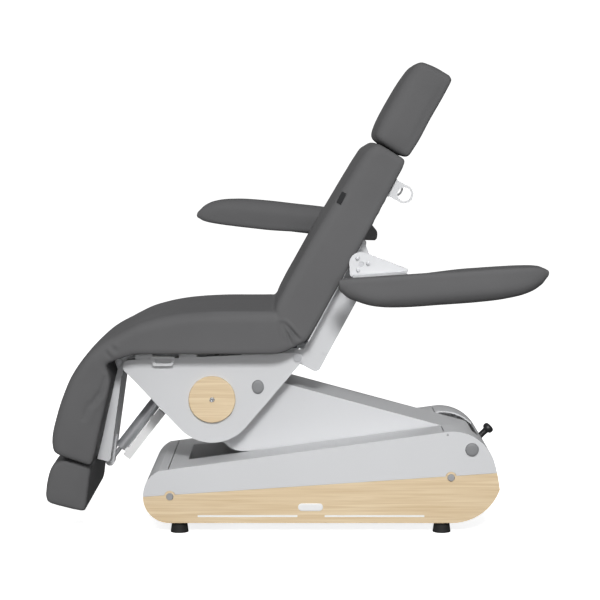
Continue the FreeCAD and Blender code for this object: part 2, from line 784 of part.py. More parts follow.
def foot_studs():
    """Threaded studs from each foot into the rails, with a lock nut under the rail."""
    studs = []
    for x, y in foot_places():
        rail_depth = RAIL_SIZE - OVERRUN - TUBE_WALL
        stud = Part.makeCylinder(STUD_RADIUS, RAIL_BOTTOM_Z - FOOT_HEIGHT + rail_depth, V(x, y, FOOT_HEIGHT))
        nut = Part.makeCylinder(STUD_NUT_RADIUS, STUD_NUT_HEIGHT, V(x, y, RAIL_BOTTOM_Z - STUD_NUT_HEIGHT))
        studs.append(fused([stud, nut]))
    return group(studs)


def panel_standoffs():
    """Round screw heads that hold the wooden panels."""
    heads = []
    outer = -BASE_HALF_WIDTH
    for x, z in standoff_places():
        head = round_y(x, z, STANDOFF_RADIUS, outer - STANDOFF_HEAD, outer)
        rim = [e for e in head.Edges if e.BoundBox.YMax < outer - STANDOFF_HEAD + RUN_FIT]
        head = head.makeChamfer(STANDOFF_HEAD / 3, rim)
        shank = round_y(x, z, STANDOFF_RADIUS / 2, outer, outer + PANEL_THICK)
        heads += both_sides(fused([head, shank]))
    return group(heads)


def caps(x, z, radius, face_y):
    """A pair of domed round caps on the outer faces."""
    cap = round_y(x, z, radius, -face_y - CAP_THICK, -face_y)
    rim = [e for e in cap.Edges if e.BoundBox.YMax < -face_y - CAP_THICK + RUN_FIT]
    cap = cap.makeChamfer(CAP_THICK / 3, rim)
    return group(both_sides(cap))


def base_pins():
    """Shaft of the arm, and pins for the foot of the lift motor and the lower end of the levelling link."""
    end = ARM_HALF_WIDTH + TOWER_SIDE_GAP + TOWER_THICK
    shaft = round_y(PIVOT_X, PIVOT_Z, LIFT_SHAFT_RADIUS, -end, end)
    half = EYE_HALF_THICK + EYE_GAP + LUG_THICK
    motor_pin = round_y(LIFT_FOOT_X, LIFT_FOOT_Z, PIN_RADIUS, -half, half)
    lug_side = LINK_Y - EYE_GAP - LUG_THICK
    link_pin = round_y(PIVOT_X, PIVOT_Z - LINK_DROP, PIN_RADIUS, lug_side, LINK_Y + LINK_THICK)
    return group([shaft, motor_pin, link_pin])


def control_box():
    half = BASE_HALF_WIDTH - PANEL_THICK - RAIL_SIZE
    top = RAIL_BOTTOM_Z + CONTROL_HEIGHT
    block = box(CONTROL_FRONT_X, CONTROL_FRONT_X + CONTROL_LENGTH, -half, half, RAIL_BOTTOM_Z, top)
    upright = [e for e in block.Edges if abs(e.BoundBox.ZLength - CONTROL_HEIGHT) < RUN_FIT]
    return block.makeFillet(CONTROL_ROUND, upright)


def mains_inlet():
    """Appliance inlet under the right rail, its socket open towards the floor."""
    outer = BASE_HALF_WIDTH - PANEL_THICK
    y = outer - RAIL_SIZE - INLET_DEPTH
    low = RAIL_BOTTOM_Z
    body = box(INLET_X, INLET_X + INLET_WIDTH, y, outer - RAIL_SIZE, low, low + INLET_HEIGHT)
    wall = TUBE_WALL
    socket = box(
        INLET_X + wall, INLET_X + INLET_WIDTH - wall, y + wall, outer - RAIL_SIZE - wall,
        low - OVERRUN, low + INLET_HEIGHT - wall,
    )
    return body.cut(socket)


def arm_circles(inset=0):
    """Circles of the arm's side outline: tail at the base pivot, nose at the hub, belly below the hub."""
    away = (math.cos(math.radians(ARM_REST_DEG)), -math.sin(math.radians(ARM_REST_DEG)))
    tail = (PIVOT_X, PIVOT_Z, ARM_TAIL_RADIUS - inset)
    nose = (HUB_X, HUB_Z, ARM_NOSE_RADIUS - inset)
    belly_x = HUB_X + away[0] * ARM_BELLY + away[1] * ARM_BELLY_DROP
    belly_z = HUB_Z + away[1] * ARM_BELLY - away[0] * ARM_BELLY_DROP
    return tail, nose, (belly_x, belly_z, ARM_BELLY_RADIUS - inset)


def arm_outline(inset=0):
    return circle_hull(arm_circles(inset))


def arm_ends():
    """Shaft radius, bush wall and boss radius at the hub and at the base pivot."""
    hub_boss = HUB_SHAFT_RADIUS + BUSH_WALL + BOSS_WALL
    tail_boss = LIFT_SHAFT_RADIUS + TAIL_BUSH_WALL + BOSS_WALL
    return [
        (HUB_X, HUB_Z, HUB_SHAFT_RADIUS, BUSH_WALL, hub_boss),
        (PIVOT_X, PIVOT_Z, LIFT_SHAFT_RADIUS, TAIL_BUSH_WALL, tail_boss),
    ]


def arm_shell():
    """Sheet trough with two cheeks and a top skin, open below, with bosses and a cross tube for the motor."""
    outer = plate(arm_outline(), -ARM_HALF_WIDTH, ARM_HALF_WIDTH)
    inner_half = ARM_HALF_WIDTH - ARM_WALL
    core = plate(arm_outline(ARM_WALL), -inner_half, inner_half)
    left = HUB_X - ARM_NOSE_RADIUS - OVERRUN
    right = PIVOT_X + ARM_TAIL_RADIUS + OVERRUN
    corners = [V(left, 0, 0), V(right, 0, 0), V(right, 0, PIVOT_Z), V(left, 0, HUB_Z)]
    mouth = plate(Part.makePolygon(corners + [corners[0]]), -inner_half, inner_half)
    shell = outer.cut(fused([core, mouth]))
    pieces = [shell]
    for x, z, radius, wall, boss in arm_ends():
        pieces += both_sides(round_y(x, z, boss, -inner_half, -inner_half + BOSS_LENGTH))
    pin = lift_pin_place()
    pieces.append(round_y(pin[0], pin[1], LIFT_PIN_RADIUS, -inner_half, inner_half))
    whole = fused(pieces)
    for x, z, radius, wall, boss in arm_ends():
        bore = radius + wall + RUN_FIT
        whole = whole.cut(round_y(x, z, bore, -ARM_HALF_WIDTH - OVERRUN, ARM_HALF_WIDTH + OVERRUN))
    return whole


def lift_pin_place():
    along = turn((-LIFT_PIN_REACH, 0), ARM_REST_DEG)
    return plus((PIVOT_X, PIVOT_Z), along)


def arm_bushes():
    """Plain bushes in the bosses at both ends of the arm."""
    bushes = []
    for x, z, radius, wall, boss in arm_ends():
        start = -ARM_HALF_WIDTH
        end = -ARM_HALF_WIDTH + ARM_WALL + BOSS_LENGTH
        bushes += both_sides(ring_y(x, z, radius + wall, radius + RUN_FIT, start, end))
    return group(bushes)


def level_link():
    """Flat bar with an eye at each end, parallel to the arm."""
    low = (PIVOT_X, PIVOT_Z - LINK_DROP)
    high = (HUB_X, HUB_Z - LINK_DROP)
    eyes = [(p[0], p[1], LINK_EYE_RADIUS) for p in (low, high)]
    reach = LINK_Y + LINK_THICK
    bar = plate(circle_hull([(p[0], p[1], LINK_HALF_HEIGHT) for p in (low, high)]), LINK_Y, reach)
    link = fused([bar] + [round_y(x, z, r, LINK_Y, reach) for x, z, r in eyes])
    for x, z, radius in eyes:
        link = link.cut(round_y(x, z, PIN_RADIUS + RUN_FIT, LINK_Y - OVERRUN, reach + OVERRUN))
    return link


def level_crank():
    """Crank clamped on the hub shaft, with the pin that the levelling link hangs on."""
    low = LINK_Y + LINK_THICK + EYE_GAP
    high = low + LINK_THICK
    pin_z = HUB_Z - LINK_DROP
    body = plate(circle_hull([(HUB_X, pin_z, LINK_EYE_RADIUS), (HUB_X, HUB_Z, CRANK_RADIUS)]), low, high)
    body = fused([body, round_y(HUB_X, pin_z, PIN_RADIUS, LINK_Y, low)])
    return body.cut(round_y(HUB_X, HUB_Z, HUB_SHAFT_RADIUS + RUN_FIT, low - OVERRUN, high + OVERRUN))


def motor_tube(foot, head, radius, bore, length, eye_radius, y=0):
    """Actuator tube from its eye towards the rod, with a blind bore that the rod slides in."""
    along = V(head[0] - foot[0], 0, head[1] - foot[1])
    along.normalize()
    start = V(foot[0], y, foot[1])
    body = Part.makeCylinder(radius, length - eye_radius, start + along * eye_radius, along)
    eye = round_y(foot[0], foot[1], eye_radius, y - EYE_HALF_THICK, y + EYE_HALF_THICK)
    neck = Part.makeCylinder(EYE_HALF_THICK, eye_radius + radius, start, along)
    tube = fused([body, eye, neck])
    solid_end = eye_radius + 2 * radius
    tube = tube.cut(Part.makeCylinder(bore, length - solid_end + OVERRUN, start + along * solid_end, along))
    reach = radius + OVERRUN
    return tube.cut(round_y(foot[0], foot[1], PIN_RADIUS + RUN_FIT, y - reach, y + reach))


def motor_rod(pin, foot, radius, length, eye_radius, pin_radius, y=0):
    """Actuator rod from its eye back into the tube."""
    along = V(foot[0] - pin[0], 0, foot[1] - pin[1])
    along.normalize()
    start = V(pin[0], y, pin[1])
    rod = Part.makeCylinder(radius, length, start, along)
    eye = round_y(pin[0], pin[1], eye_radius, y - EYE_HALF_THICK, y + EYE_HALF_THICK)
    whole = fused([rod, eye])
    reach = eye_radius + OVERRUN
    return whole.cut(round_y(pin[0], pin[1], pin_radius + RUN_FIT, y - reach, y + reach))


def lift_motor():
    """Lift actuator: tube, eye and the motor housing slung beside it."""
    foot, head = (LIFT_FOOT_X, LIFT_FOOT_Z), lift_pin_place()
    tube = motor_tube(foot, head, LIFT_TUBE_RADIUS, LIFT_BORE_RADIUS, LIFT_TUBE_LENGTH, EYE_RADIUS)
    along = V(head[0] - foot[0], 0, head[1] - foot[1])
    along.normalize()
    side_y = -LIFT_TUBE_RADIUS - MOTOR_RADIUS + BUSH_WALL
    start = V(foot[0], side_y, foot[1]) + along * (2 * LIFT_TUBE_RADIUS + MOTOR_DROP)
    housing = Part.makeCylinder(MOTOR_RADIUS, MOTOR_LENGTH, start, along)
    hollow_from = V(foot[0], 0, foot[1]) + along * (EYE_RADIUS + 2 * LIFT_TUBE_RADIUS)
    hollow = Part.makeCylinder(LIFT_BORE_RADIUS, LIFT_TUBE_LENGTH, hollow_from, along)
    return fused([tube, housing.cut(hollow)])


def lift_rod():
    foot = (LIFT_FOOT_X, LIFT_FOOT_Z)
    return motor_rod(lift_pin_place(), foot, LIFT_ROD_RADIUS, LIFT_ROD_LENGTH, EYE_RADIUS, LIFT_PIN_RADIUS)


def seat_circles(inset=0):
    front = (HUB_X + FRONT_TIP_DX, HUB_Z + FRONT_TIP_DZ, FRONT_TIP_RADIUS - inset)
    rear = (HUB_X + REAR_TIP_DX, HUB_Z + REAR_TIP_DZ, REAR_TIP_RADIUS - inset)
    return [(HUB_X, HUB_Z, HUB_RADIUS - inset), rear, front]


def seat_plate():
    """Left side plate of the seat carriage: a pressed dish with a rim turned inwards."""
    inner = -SEAT_PLATE_Y + PLATE_THICK
    dish = plate(circle_hull(seat_circles()), -SEAT_PLATE_Y, -SEAT_PLATE_Y + PLATE_RIM)
    hollow = plate(circle_hull(seat_circles(PLATE_THICK)), inner, inner + PLATE_RIM)
    dish = dish.cut(hollow)
    dish = dish.cut(round_y(BACK_X, BACK_Z, RIM_OPENING_RADIUS, inner, inner + PLATE_RIM))
    pin = HINGE_PIN_RADIUS + RUN_FIT
    return dish.cut(round_y(BACK_X, BACK_Z, pin, -SEAT_PLATE_Y - OVERRUN, inner + OVERRUN))


def crossbar_places():
    length = REAR_TIP_DX - FRONT_TIP_DX
    middle = HUB_X + (REAR_TIP_DX + FRONT_TIP_DX) / 2
    return [middle + share * length / 2 for share in CROSSBAR_DX_SHARES]


def leg_motor_place():
    return HUB_X + LEG_MOTOR_DX, HUB_Z + LEG_MOTOR_DZ


def back_motor_place():
    return HUB_X + BACK_MOTOR_DX, HUB_Z + BACK_MOTOR_DZ


def seat_crossbars():
    """Flat bars across the carriage, with knee lugs in front and lugs for the leg motor under the middle."""
    top = SEAT_UNDER_Z
    bars = []
    for x in crossbar_places():
        start = x - CROSSBAR_WIDTH / 2
        end = start + CROSSBAR_WIDTH
        bars.append(box(start, end, -SEAT_INNER_Y, SEAT_INNER_Y, top - CROSSBAR_THICK, top))
    front = crossbar_places()[0]
    lug = circle_hull([
        (KNEE_X, KNEE_Z, KNEE_LUG_RADIUS),
        (front, top - KNEE_LUG_RADIUS, KNEE_LUG_RADIUS),
        (front - CROSSBAR_WIDTH / 2, top - KNEE_LUG_RADIUS, KNEE_LUG_RADIUS),
    ])
    start = -LEG_BOX_HALF_WIDTH - EYE_GAP - KNEE_LUG_THICK
    bars += both_sides(plate(lug, start, start + KNEE_LUG_THICK))
    motor_x, motor_z = leg_motor_place()
    second = crossbar_places()[1]
    hanger = circle_hull([
        (motor_x, motor_z, EYE_RADIUS),
        (second, top - KNEE_LUG_RADIUS, KNEE_LUG_RADIUS),
        (second - CROSSBAR_WIDTH / 2, top - KNEE_LUG_RADIUS, KNEE_LUG_RADIUS),
    ])
    start = -EYE_HALF_THICK - EYE_GAP - MOTOR_LUG_THICK
    bars += both_sides(plate(hanger, start, start + MOTOR_LUG_THICK))
    rim_in = -SEAT_PLATE_Y + PLATE_RIM
    for x in crossbar_places():
        start = x - CROSSBAR_WIDTH / 2
        riser = box(start, start + CROSSBAR_WIDTH, -SEAT_INNER_Y, rim_in, KNEE_Z, top)
        bars += both_sides(riser)
    frame = fused(bars)
    dish = plate(circle_hull(seat_circles()), -SEAT_PLATE_Y - OVERRUN, rim_in + RUN_FIT)
    frame = frame.cut(group(both_sides(dish)))
    reach = SEAT_PLATE_Y
    frame = frame.cut(round_y(motor_x, motor_z, PIN_RADIUS + RUN_FIT, -reach, reach))
    return frame.cut(round_y(KNEE_X, KNEE_Z, HINGE_PIN_RADIUS + RUN_FIT, -reach, reach))


def hub_shaft():
    """Shaft through the arm's hub, with shoulders that space the side plates from the arm."""
    pieces = [round_y(HUB_X, HUB_Z, HUB_SHAFT_RADIUS, -SEAT_INNER_Y, SEAT_INNER_Y)]
    start, end = -SEAT_INNER_Y, -ARM_HALF_WIDTH - EYE_GAP
    pieces += both_sides(round_y(HUB_X, HUB_Z, CRANK_RADIUS, start, end))
    return fused(pieces)


def hub_discs():
    """Round wooden covers on the hubs."""
    disc = round_y(HUB_X, HUB_Z, DISC_RADIUS, -SEAT_PLATE_Y - DISC_THICK, -SEAT_PLATE_Y)
    rim = [e for e in disc.Edges if e.BoundBox.YMax < -SEAT_PLATE_Y - DISC_THICK + RUN_FIT]
    disc = disc.makeChamfer(DISC_EDGE, rim)
    return group(both_sides(disc))


def hub_screws():
    face = -SEAT_PLATE_Y - DISC_THICK
    screw = round_y(HUB_X, HUB_Z, HUB_SCREW_RADIUS, face - HUB_SCREW_HEAD, face)
    return group(both_sides(screw))


def accessory_loops():
    """Flat rings on the side plates that take hooked accessories."""
    top = HUB_Z + LOOP_TOP_DZ
    middle = HUB_X + LOOP_DX
    low = top - LOOP_HEIGHT
    half, foot = LOOP_LENGTH / 2, LOOP_FOOT_LENGTH / 2
    wall = LOOP_WALL
    outer = rounded_wire([
        (middle - foot, low, wall), (middle + foot, low, wall),
        (middle + half, top, wall / 2), (middle - half, top, wall / 2),
    ])
    inner = rounded_wire([
        (middle - foot + wall, low + wall, wall / 4), (middle + foot - wall, low + wall, wall / 4),
        (middle + half - wall, top - wall, wall / 4), (middle - half + wall, top - wall, wall / 4),
    ])
    back_y = -SEAT_PLATE_Y - LOOP_STANDOFF
    ring = plate(outer, back_y - LOOP_THICK, back_y)
    ring = ring.cut(plate(inner, back_y - LOOP_THICK - OVERRUN, back_y + OVERRUN))
    stub_z = top - wall / 2
    stub_y = back_y - LOOP_THICK / 2
    stubs = [round_y(middle + s * foot, stub_z, wall / 2, stub_y, -SEAT_PLATE_Y) for s in (-1, 1)]
    return group(both_sides(fused([ring] + stubs)))


def seat_hinge_pins():
    """Pins of the seat carriage: back hinges, knee hinges, leg motor and back motor."""
    outer = -SEAT_PLATE_Y - HINGE_HEAD_THICK
    back_end = -BACK_PLATE_Y + BACK_PLATE_THICK
    back_pin = fused([
        round_y(BACK_X, BACK_Z, HINGE_PIN_RADIUS, -SEAT_PLATE_Y, back_end),
        round_y(BACK_X, BACK_Z, HINGE_PIN_HEAD, outer, -SEAT_PLATE_Y),
    ])
    lug = -LEG_BOX_HALF_WIDTH - EYE_GAP - KNEE_LUG_THICK
    knee_pin = fused([
        round_y(KNEE_X, KNEE_Z, HINGE_PIN_RADIUS, lug, -LEG_BOX_HALF_WIDTH + LEG_BOX_WALL),
        round_y(KNEE_X, KNEE_Z, HINGE_PIN_HEAD - HINGE_HEAD_THICK / 2, lug - HINGE_HEAD_THICK, lug),
    ])
    x, z = leg_motor_place()
    half = EYE_HALF_THICK + EYE_GAP + MOTOR_LUG_THICK
    leg_pin = round_y(x, z, PIN_RADIUS, -half, half)
    x, z = back_motor_place()
    motor_pin = round_y(x, z, PIN_RADIUS, LEVER_Y - EYE_HALF_THICK, SEAT_INNER_Y)
    return group(both_sides(back_pin) + both_sides(knee_pin) + [leg_pin, motor_pin])


def seat_pad_corners():
    knee = KNEE_X + FOLD_GAP
    crease_shift = SOFT_GAP
    return [
        (knee, KNEE_Z + KNEE_INNER, 0, 0, 1),
        (HUB_X + UNDER_FRONT_DX, SEAT_UNDER_Z, UNDER_ROUND, 0, 1),
        (HUB_X + UNDER_REAR_DX, SEAT_UNDER_Z, UNDER_ROUND, 0, 1),
        (HUB_X + CREASE_LOW_DX - crease_shift, HUB_Z + CREASE_LOW_DZ, CREASE_ROUND, 0, 0),
        (HUB_X + CREASE_TOP_DX - crease_shift, HUB_Z + SEAT_TOP_DZ, CREASE_ROUND, 0, 1),
        (HUB_X + SEAT_TOP_FRONT_DX, HUB_Z + SEAT_TOP_DZ, SEAT_TOP_ROUND, 1, 1),
        (HUB_X + SEAT_SLOPE_DX, HUB_Z + SEAT_SLOPE_DZ, SEAT_SLOPE_ROUND, 1, 1),
        (knee, KNEE_Z + KNEE_TOP_RISE, 0, 1, 0),
    ]


def board_pocket(length_start, length_end, half_width, low, thick):
    return box(length_start, length_end, -half_width, half_width, low, low + thick)


def seat_board():
    start = HUB_X + UNDER_FRONT_DX + BOARD_EDGE
    end = HUB_X + UNDER_REAR_DX - BOARD_EDGE
    return board_pocket(start, end, SEAT_HALF_WIDTH - BOARD_EDGE, SEAT_UNDER_Z, BOARD_THICK)


def seat_pad():
    """Seat cushion with the board let into its underside."""
    start = HUB_X + UNDER_FRONT_DX + BOARD_EDGE - SEAM_GAP
    end = HUB_X + UNDER_REAR_DX - BOARD_EDGE + SEAM_GAP
    half = SEAT_HALF_WIDTH - BOARD_EDGE + SEAM_GAP
    low = SEAT_UNDER_Z - OVERRUN
    pocket = board_pocket(start, end, half, low, BOARD_THICK + OVERRUN + RUN_FIT)
    return pad(seat_pad_corners(), SEAT_HALF_WIDTH).cut(pocket)


def knee_pad():
    """Cushion of the knee, which folds between seat and leg rest."""
    inner = plus(turn((0, KNEE_INNER), -LEG_REST_DEG), (KNEE_X, KNEE_Z))
    outer = plus(turn((0, KNEE_SPAN), -LEG_REST_DEG), (KNEE_X, KNEE_Z))
    x = KNEE_X - FOLD_GAP
    corners = [
        (x, KNEE_Z + KNEE_INNER, 0, 0, 0),
        (x, KNEE_Z + KNEE_TOP_RISE, 0, 1, 1),
        (KNEE_X + KNEE_MID_DX, KNEE_Z + KNEE_MID_DZ, KNEE_ROUND, 1, 1),
        (outer[0], outer[1] + FOLD_GAP, 0, 0, 0),
        (inner[0], inner[1] + FOLD_GAP, 0, 0, 1),
    ]
    return pad(corners, SEAT_HALF_WIDTH)


def leg_pad_corners():
    return [
        (-LEG_PAD_END, -LEG_PAD_UNDER, UNDER_ROUND / 2, 0, 1),
        (-LEG_CHAMFER, 0, UNDER_ROUND, 0, 1),
        (-FOLD_GAP, KNEE_INNER, 0, 0, 0),
        (-FOLD_GAP, LEG_PAD_TOP_START, 0, 1, 1),
        (-LEG_PAD_NEAR, LEG_PAD_TOP_NEAR, LEG_TOP_ROUND, 1, 1),
        (-LEG_PAD_MID, LEG_PAD_TOP_MID, LEG_TOP_ROUND, 1, 1),
        (-LEG_PAD_END + LEG_PAD_UNDER, LEG_PAD_TOP_END, LEG_END_ROUND, 0, 1),
    ]


def leg_under(x):
    """Height of the leg pad's underside at a place along the leg."""
    share = (-x - LEG_CHAMFER) / (LEG_PAD_END - LEG_CHAMFER)
    return -LEG_PAD_UNDER * share


def leg_board_wire(grow):
    """Side outline of the leg board, let into the underside of the pad."""
    start, end = -LEG_CHAMFER - BOARD_EDGE + grow, -LEG_PAD_END + BOARD_EDGE - grow
    top = LEG_BOARD_THICK + grow / 4
    points = [
        V(end, 0, leg_under(end)), V(start, 0, leg_under(start)),
        V(start, 0, leg_under(start) + top), V(end, 0, leg_under(end) + top),
    ]
    return Part.makePolygon(points + [points[0]])


def leg_pad():
    half = LEG_BOARD_HALF_WIDTH + SEAM_GAP
    pocket = plate(leg_board_wire(SEAM_GAP), -half, half)
    body = pad(leg_pad_corners(), SEAT_HALF_WIDTH).cut(pocket)
    room = FOOT_BAR_RADIUS + FOOT_GUIDE_WALL + SEAM_GAP
    for guide in foot_bars_solid(room, LEG_PAD_END, FOOT_GUIDE_LENGTH):
        body = body.cut(guide)
    return on_leg(body)


def leg_frame():
    """Painted box under the leg pad with its board, open where the motor's clevis sits."""
    start, end = -LEG_BOX_START, -LEG_BOX_END
    corners = [
        (end, -LEG_BOX_DEPTH_END, LEG_BOX_ROUND), (start, -LEG_BOX_DEPTH_START, 0),
        (start, -RUN_FIT, 0), (-LEG_CHAMFER, leg_under(-LEG_CHAMFER) - RUN_FIT, 0),
        (end, leg_under(end) - RUN_FIT, 0),
    ]
    half = LEG_BOX_HALF_WIDTH
    wall = LEG_BOX_WALL
    outer = plate(rounded_wire(corners), -half, half)
    inside = [
        (end + wall, -LEG_BOX_DEPTH_END + wall, LEG_BOX_ROUND / 2),
        (start - wall, -LEG_BOX_DEPTH_START + wall, 0),
        (-LEG_CHAMFER - wall, leg_under(-LEG_CHAMFER) - wall, 0),
        (end + wall, leg_under(end) - wall, 0),
    ]
    hollow = plate(rounded_wire(inside), -half + wall, half - wall)
    ear = circle_hull([(0, 0, LEG_EAR_RADIUS), (-LEG_BOX_START - LEG_EAR_RADIUS, -LEG_BOX_DEPTH_START, wall)])
    ears = both_sides(plate(ear, -half, -half + wall))
    body = fused([outer.cut(hollow)] + ears)
    notch_half = LEG_NOTCH_HALF_WIDTH
    notch_top = leg_under(end) - 2 * wall
    notch_low = -LEG_BOX_DEPTH_END - OVERRUN
    notch = box(end - OVERRUN, end + LEG_NOTCH_LENGTH, -notch_half, notch_half, notch_low, notch_top)
    body = body.cut(notch)
    board_half = LEG_BOARD_HALF_WIDTH
    body = fused([body, plate(leg_board_wire(0), -board_half, board_half)])
    body = body.cut(round_y(0, 0, HINGE_PIN_RADIUS + RUN_FIT, -half - OVERRUN, half + OVERRUN))
    for bar in foot_bars_solid(FOOT_BAR_RADIUS + FOOT_GUIDE_WALL + SEAM_GAP, LEG_PAD_END, FOOT_GUIDE_LENGTH):
        body = body.cut(bar)
    return on_leg(body)


def clevis_place():
    return leg_point(-CLEVIS_REACH, -CLEVIS_DROP)


def leg_clevis():
    """Two ears and a pin at the end of the leg box that take the motor's rod."""
    foot_x = -LEG_BOX_END + LEG_NOTCH_LENGTH
    roof = leg_under(-LEG_BOX_END) - 2 * LEG_BOX_WALL
    ear = circle_hull([
        (-CLEVIS_REACH, -CLEVIS_DROP, CLEVIS_RADIUS),
        (foot_x - CLEVIS_RADIUS, roof - CLEVIS_RADIUS, CLEVIS_RADIUS),
        (-LEG_BOX_END + CLEVIS_RADIUS, roof - CLEVIS_RADIUS, CLEVIS_RADIUS),
    ])
    ears = both_sides(plate(ear, -CLEVIS_GAP - CLEVIS_EAR, -CLEVIS_GAP))
    half = CLEVIS_GAP + CLEVIS_EAR
    pin = round_y(-CLEVIS_REACH, -CLEVIS_DROP, PIN_RADIUS, -half, half)
    return on_leg(fused(ears + [pin]))


def foot_bars_solid(radius, reach, length):
    """Bars or guide bores under the leg rest, ending at a reach along it."""
    bars = []
    for side in (-1, 1):
        start = V(-reach - OVERRUN, side * FOOT_BAR_Y, FOOT_BAR_HEIGHT)
        bars.append(Part.makeCylinder(radius, length + OVERRUN, start, V(1, 0, 0)))
    return bars


def foot_guides():
    """Tubes in the leg pad that the foot pad's bars slide in."""
    tubes = []
    radius = FOOT_BAR_RADIUS + FOOT_GUIDE_WALL
    for side in (-1, 1):
        start = V(-LEG_PAD_END + LEG_PAD_UNDER, side * FOOT_BAR_Y, FOOT_BAR_HEIGHT)
        length = FOOT_GUIDE_LENGTH - LEG_PAD_UNDER
        tube = Part.makeCylinder(radius, length, start, V(1, 0, 0))
        bore_start = start - V(OVERRUN, 0, 0)
        bore_length = length + 2 * OVERRUN
        bore = Part.makeCylinder(FOOT_BAR_RADIUS + RUN_FIT, bore_length, bore_start, V(1, 0, 0))
        tubes.append(tube.cut(bore))
    return on_leg(group(tubes))


def foot_bars():
    bars = []
    for side in (-1, 1):
        start = V(-FOOT_PAD_START - FOOT_BAR_IN_PAD, side * FOOT_BAR_Y, FOOT_BAR_HEIGHT)
        bars.append(Part.makeCylinder(FOOT_BAR_RADIUS, FOOT_BAR_LENGTH, start, V(1, 0, 0)))
    return on_leg(group(bars))


def foot_pad():
    """Foot cushion beyond the leg rest, bored for its two bars."""
    corners = [
        (-FOOT_PAD_END + FOOT_UNDER_ROUND, FOOT_PAD_UNDER_END, FOOT_UNDER_ROUND, 0, 1),
        (-FOOT_PAD_START, FOOT_PAD_UNDER_START, FOOT_UNDER_ROUND, 0, 1),
        (-FOOT_PAD_START, FOOT_PAD_TOP, FOOT_START_ROUND, 1, 1),
        (-FOOT_PAD_MID, FOOT_PAD_TOP, FOOT_MID_ROUND, 1, 1),
        (-FOOT_PAD_END, FOOT_PAD_END_TOP, FOOT_END_ROUND, 1, 1),
    ]
    body = pad(corners, FOOT_HALF_WIDTH)
    reach = FOOT_PAD_START + FOOT_BAR_IN_PAD - OVERRUN + RUN_FIT
    for bar in foot_bars_solid(FOOT_BAR_RADIUS + RUN_FIT, reach, FOOT_BAR_LENGTH):
        body = body.cut(bar)
    return on_leg(body)


def leg_tube_length():
    foot, head = leg_motor_place(), clevis_place()
    return math.hypot(head[0] - foot[0], head[1] - foot[1]) - LEG_MOUTH_GAP


def leg_motor():
    """Bright tube of the leg actuator."""
    length = leg_tube_length()
    return motor_tube(leg_motor_place(), clevis_place(), LEG_TUBE_RADIUS, LEG_BORE_RADIUS, length, EYE_RADIUS)


def leg_trunk():
    """Rectangular trunk of the leg motor, standing on two saddles beside the tube."""
    foot, head = leg_motor_place(), clevis_place()
    along = V(head[0] - foot[0], 0, head[1] - foot[1])
    along.normalize()
    across = V(-along.z, 0, along.x)
    start_at = leg_tube_length() - LEG_TRUNK_LENGTH + LEG_TRUNK_OVERHANG
    start = V(foot[0], 0, foot[1]) + along * start_at
    trunk = Part.makeBox(LEG_TRUNK_LENGTH, LEG_TRUNK_DEPTH, LEG_TRUNK_WIDTH)
    trunk.translate(V(0, -LEG_TRUNK_DEPTH / 2, LEG_TRUNK_OFFSET - LEG_TRUNK_WIDTH / 2))
    pieces = [trunk]
    far = LEG_TRUNK_LENGTH - LEG_TRUNK_OVERHANG - LEG_BAND_LENGTH
    for place in (LEG_TRUNK_OVERHANG + LEG_BAND_LENGTH, far):
        web = Part.makeBox(LEG_BAND_LENGTH, LEG_TRUNK_DEPTH, LEG_TRUNK_OFFSET)
        web.translate(V(place, -LEG_TRUNK_DEPTH / 2, 0))
        pieces.append(web)
    bore_length = LEG_TRUNK_LENGTH + 2 * OVERRUN
    bore = Part.makeCylinder(LEG_TUBE_RADIUS + RUN_FIT, bore_length, V(-OVERRUN, 0, 0), V(1, 0, 0))
    whole = fused(pieces).cut(bore)
    whole.Placement = FreeCAD.Placement(start, FreeCAD.Rotation(along, V(0, 1, 0), across, "XZY"))
    return whole


def leg_rod():
    eye = CLEVIS_RADIUS - EYE_GAP
    return motor_rod(clevis_place(), leg_motor_place(), LEG_ROD_RADIUS, LEG_ROD_LENGTH, eye, PIN_RADIUS)


def back_pad_corners():
    low = turn((CREASE_LOW_DX - BACK_HINGE_DX, CREASE_LOW_DZ - BACK_HINGE_DZ), BACK_REST_DEG)
    top = turn((CREASE_TOP_DX - BACK_HINGE_DX, SEAT_TOP_DZ - BACK_HINGE_DZ), BACK_REST_DEG)
    rise = (top[1] - low[1])
    lean = (top[0] - low[0]) / rise
    front = top[0] + lean * (BACK_PAD_TOP - top[1])
    return [
        (low[0] + SOFT_GAP, low[1], CREASE_ROUND, 0, 1),
        (BACK_PAD_START, BACK_PAD_UNDER, BACK_START_ROUND, 0, 1),
        (BACK_PAD_END, BACK_PAD_UNDER, BACK_PAD_END_ROUND, 0, 1),
        (BACK_PAD_END - BACK_PAD_LEAN, BACK_PAD_TOP, BACK_TOP_ROUND, 1, 1),
        (front + SOFT_GAP, BACK_PAD_TOP, BACK_FRONT_ROUND, 0, 0),
    ]


def back_board():
    """Light panel across the rear of the back pad."""
    half = SEAT_HALF_WIDTH - BACK_BOARD_EDGE
    end = BACK_PAD_END - BACK_BOARD_EDGE
    return on_back(box(BACK_BOARD_START, end, -half, half, BACK_REAR, BACK_PAD_UNDER))


def head_bars_solid(radius, start, length):
    bars = []
    for side in (-1, 1):
        bars.append(Part.makeCylinder(radius, length, V(start, side * HEAD_BAR_Y, HEAD_BAR_B), V(1, 0, 0)))
    return bars


def back_pad():
    body = pad(back_pad_corners(), SEAT_HALF_WIDTH)
    start = BACK_PAD_END - GUIDE_LENGTH - SEAM_GAP
    for bore in head_bars_solid(HEAD_BAR_RADIUS + GUIDE_WALL + RUN_FIT, start, GUIDE_LENGTH + OVERRUN):
        body = body.cut(bore)
    return on_back(body)


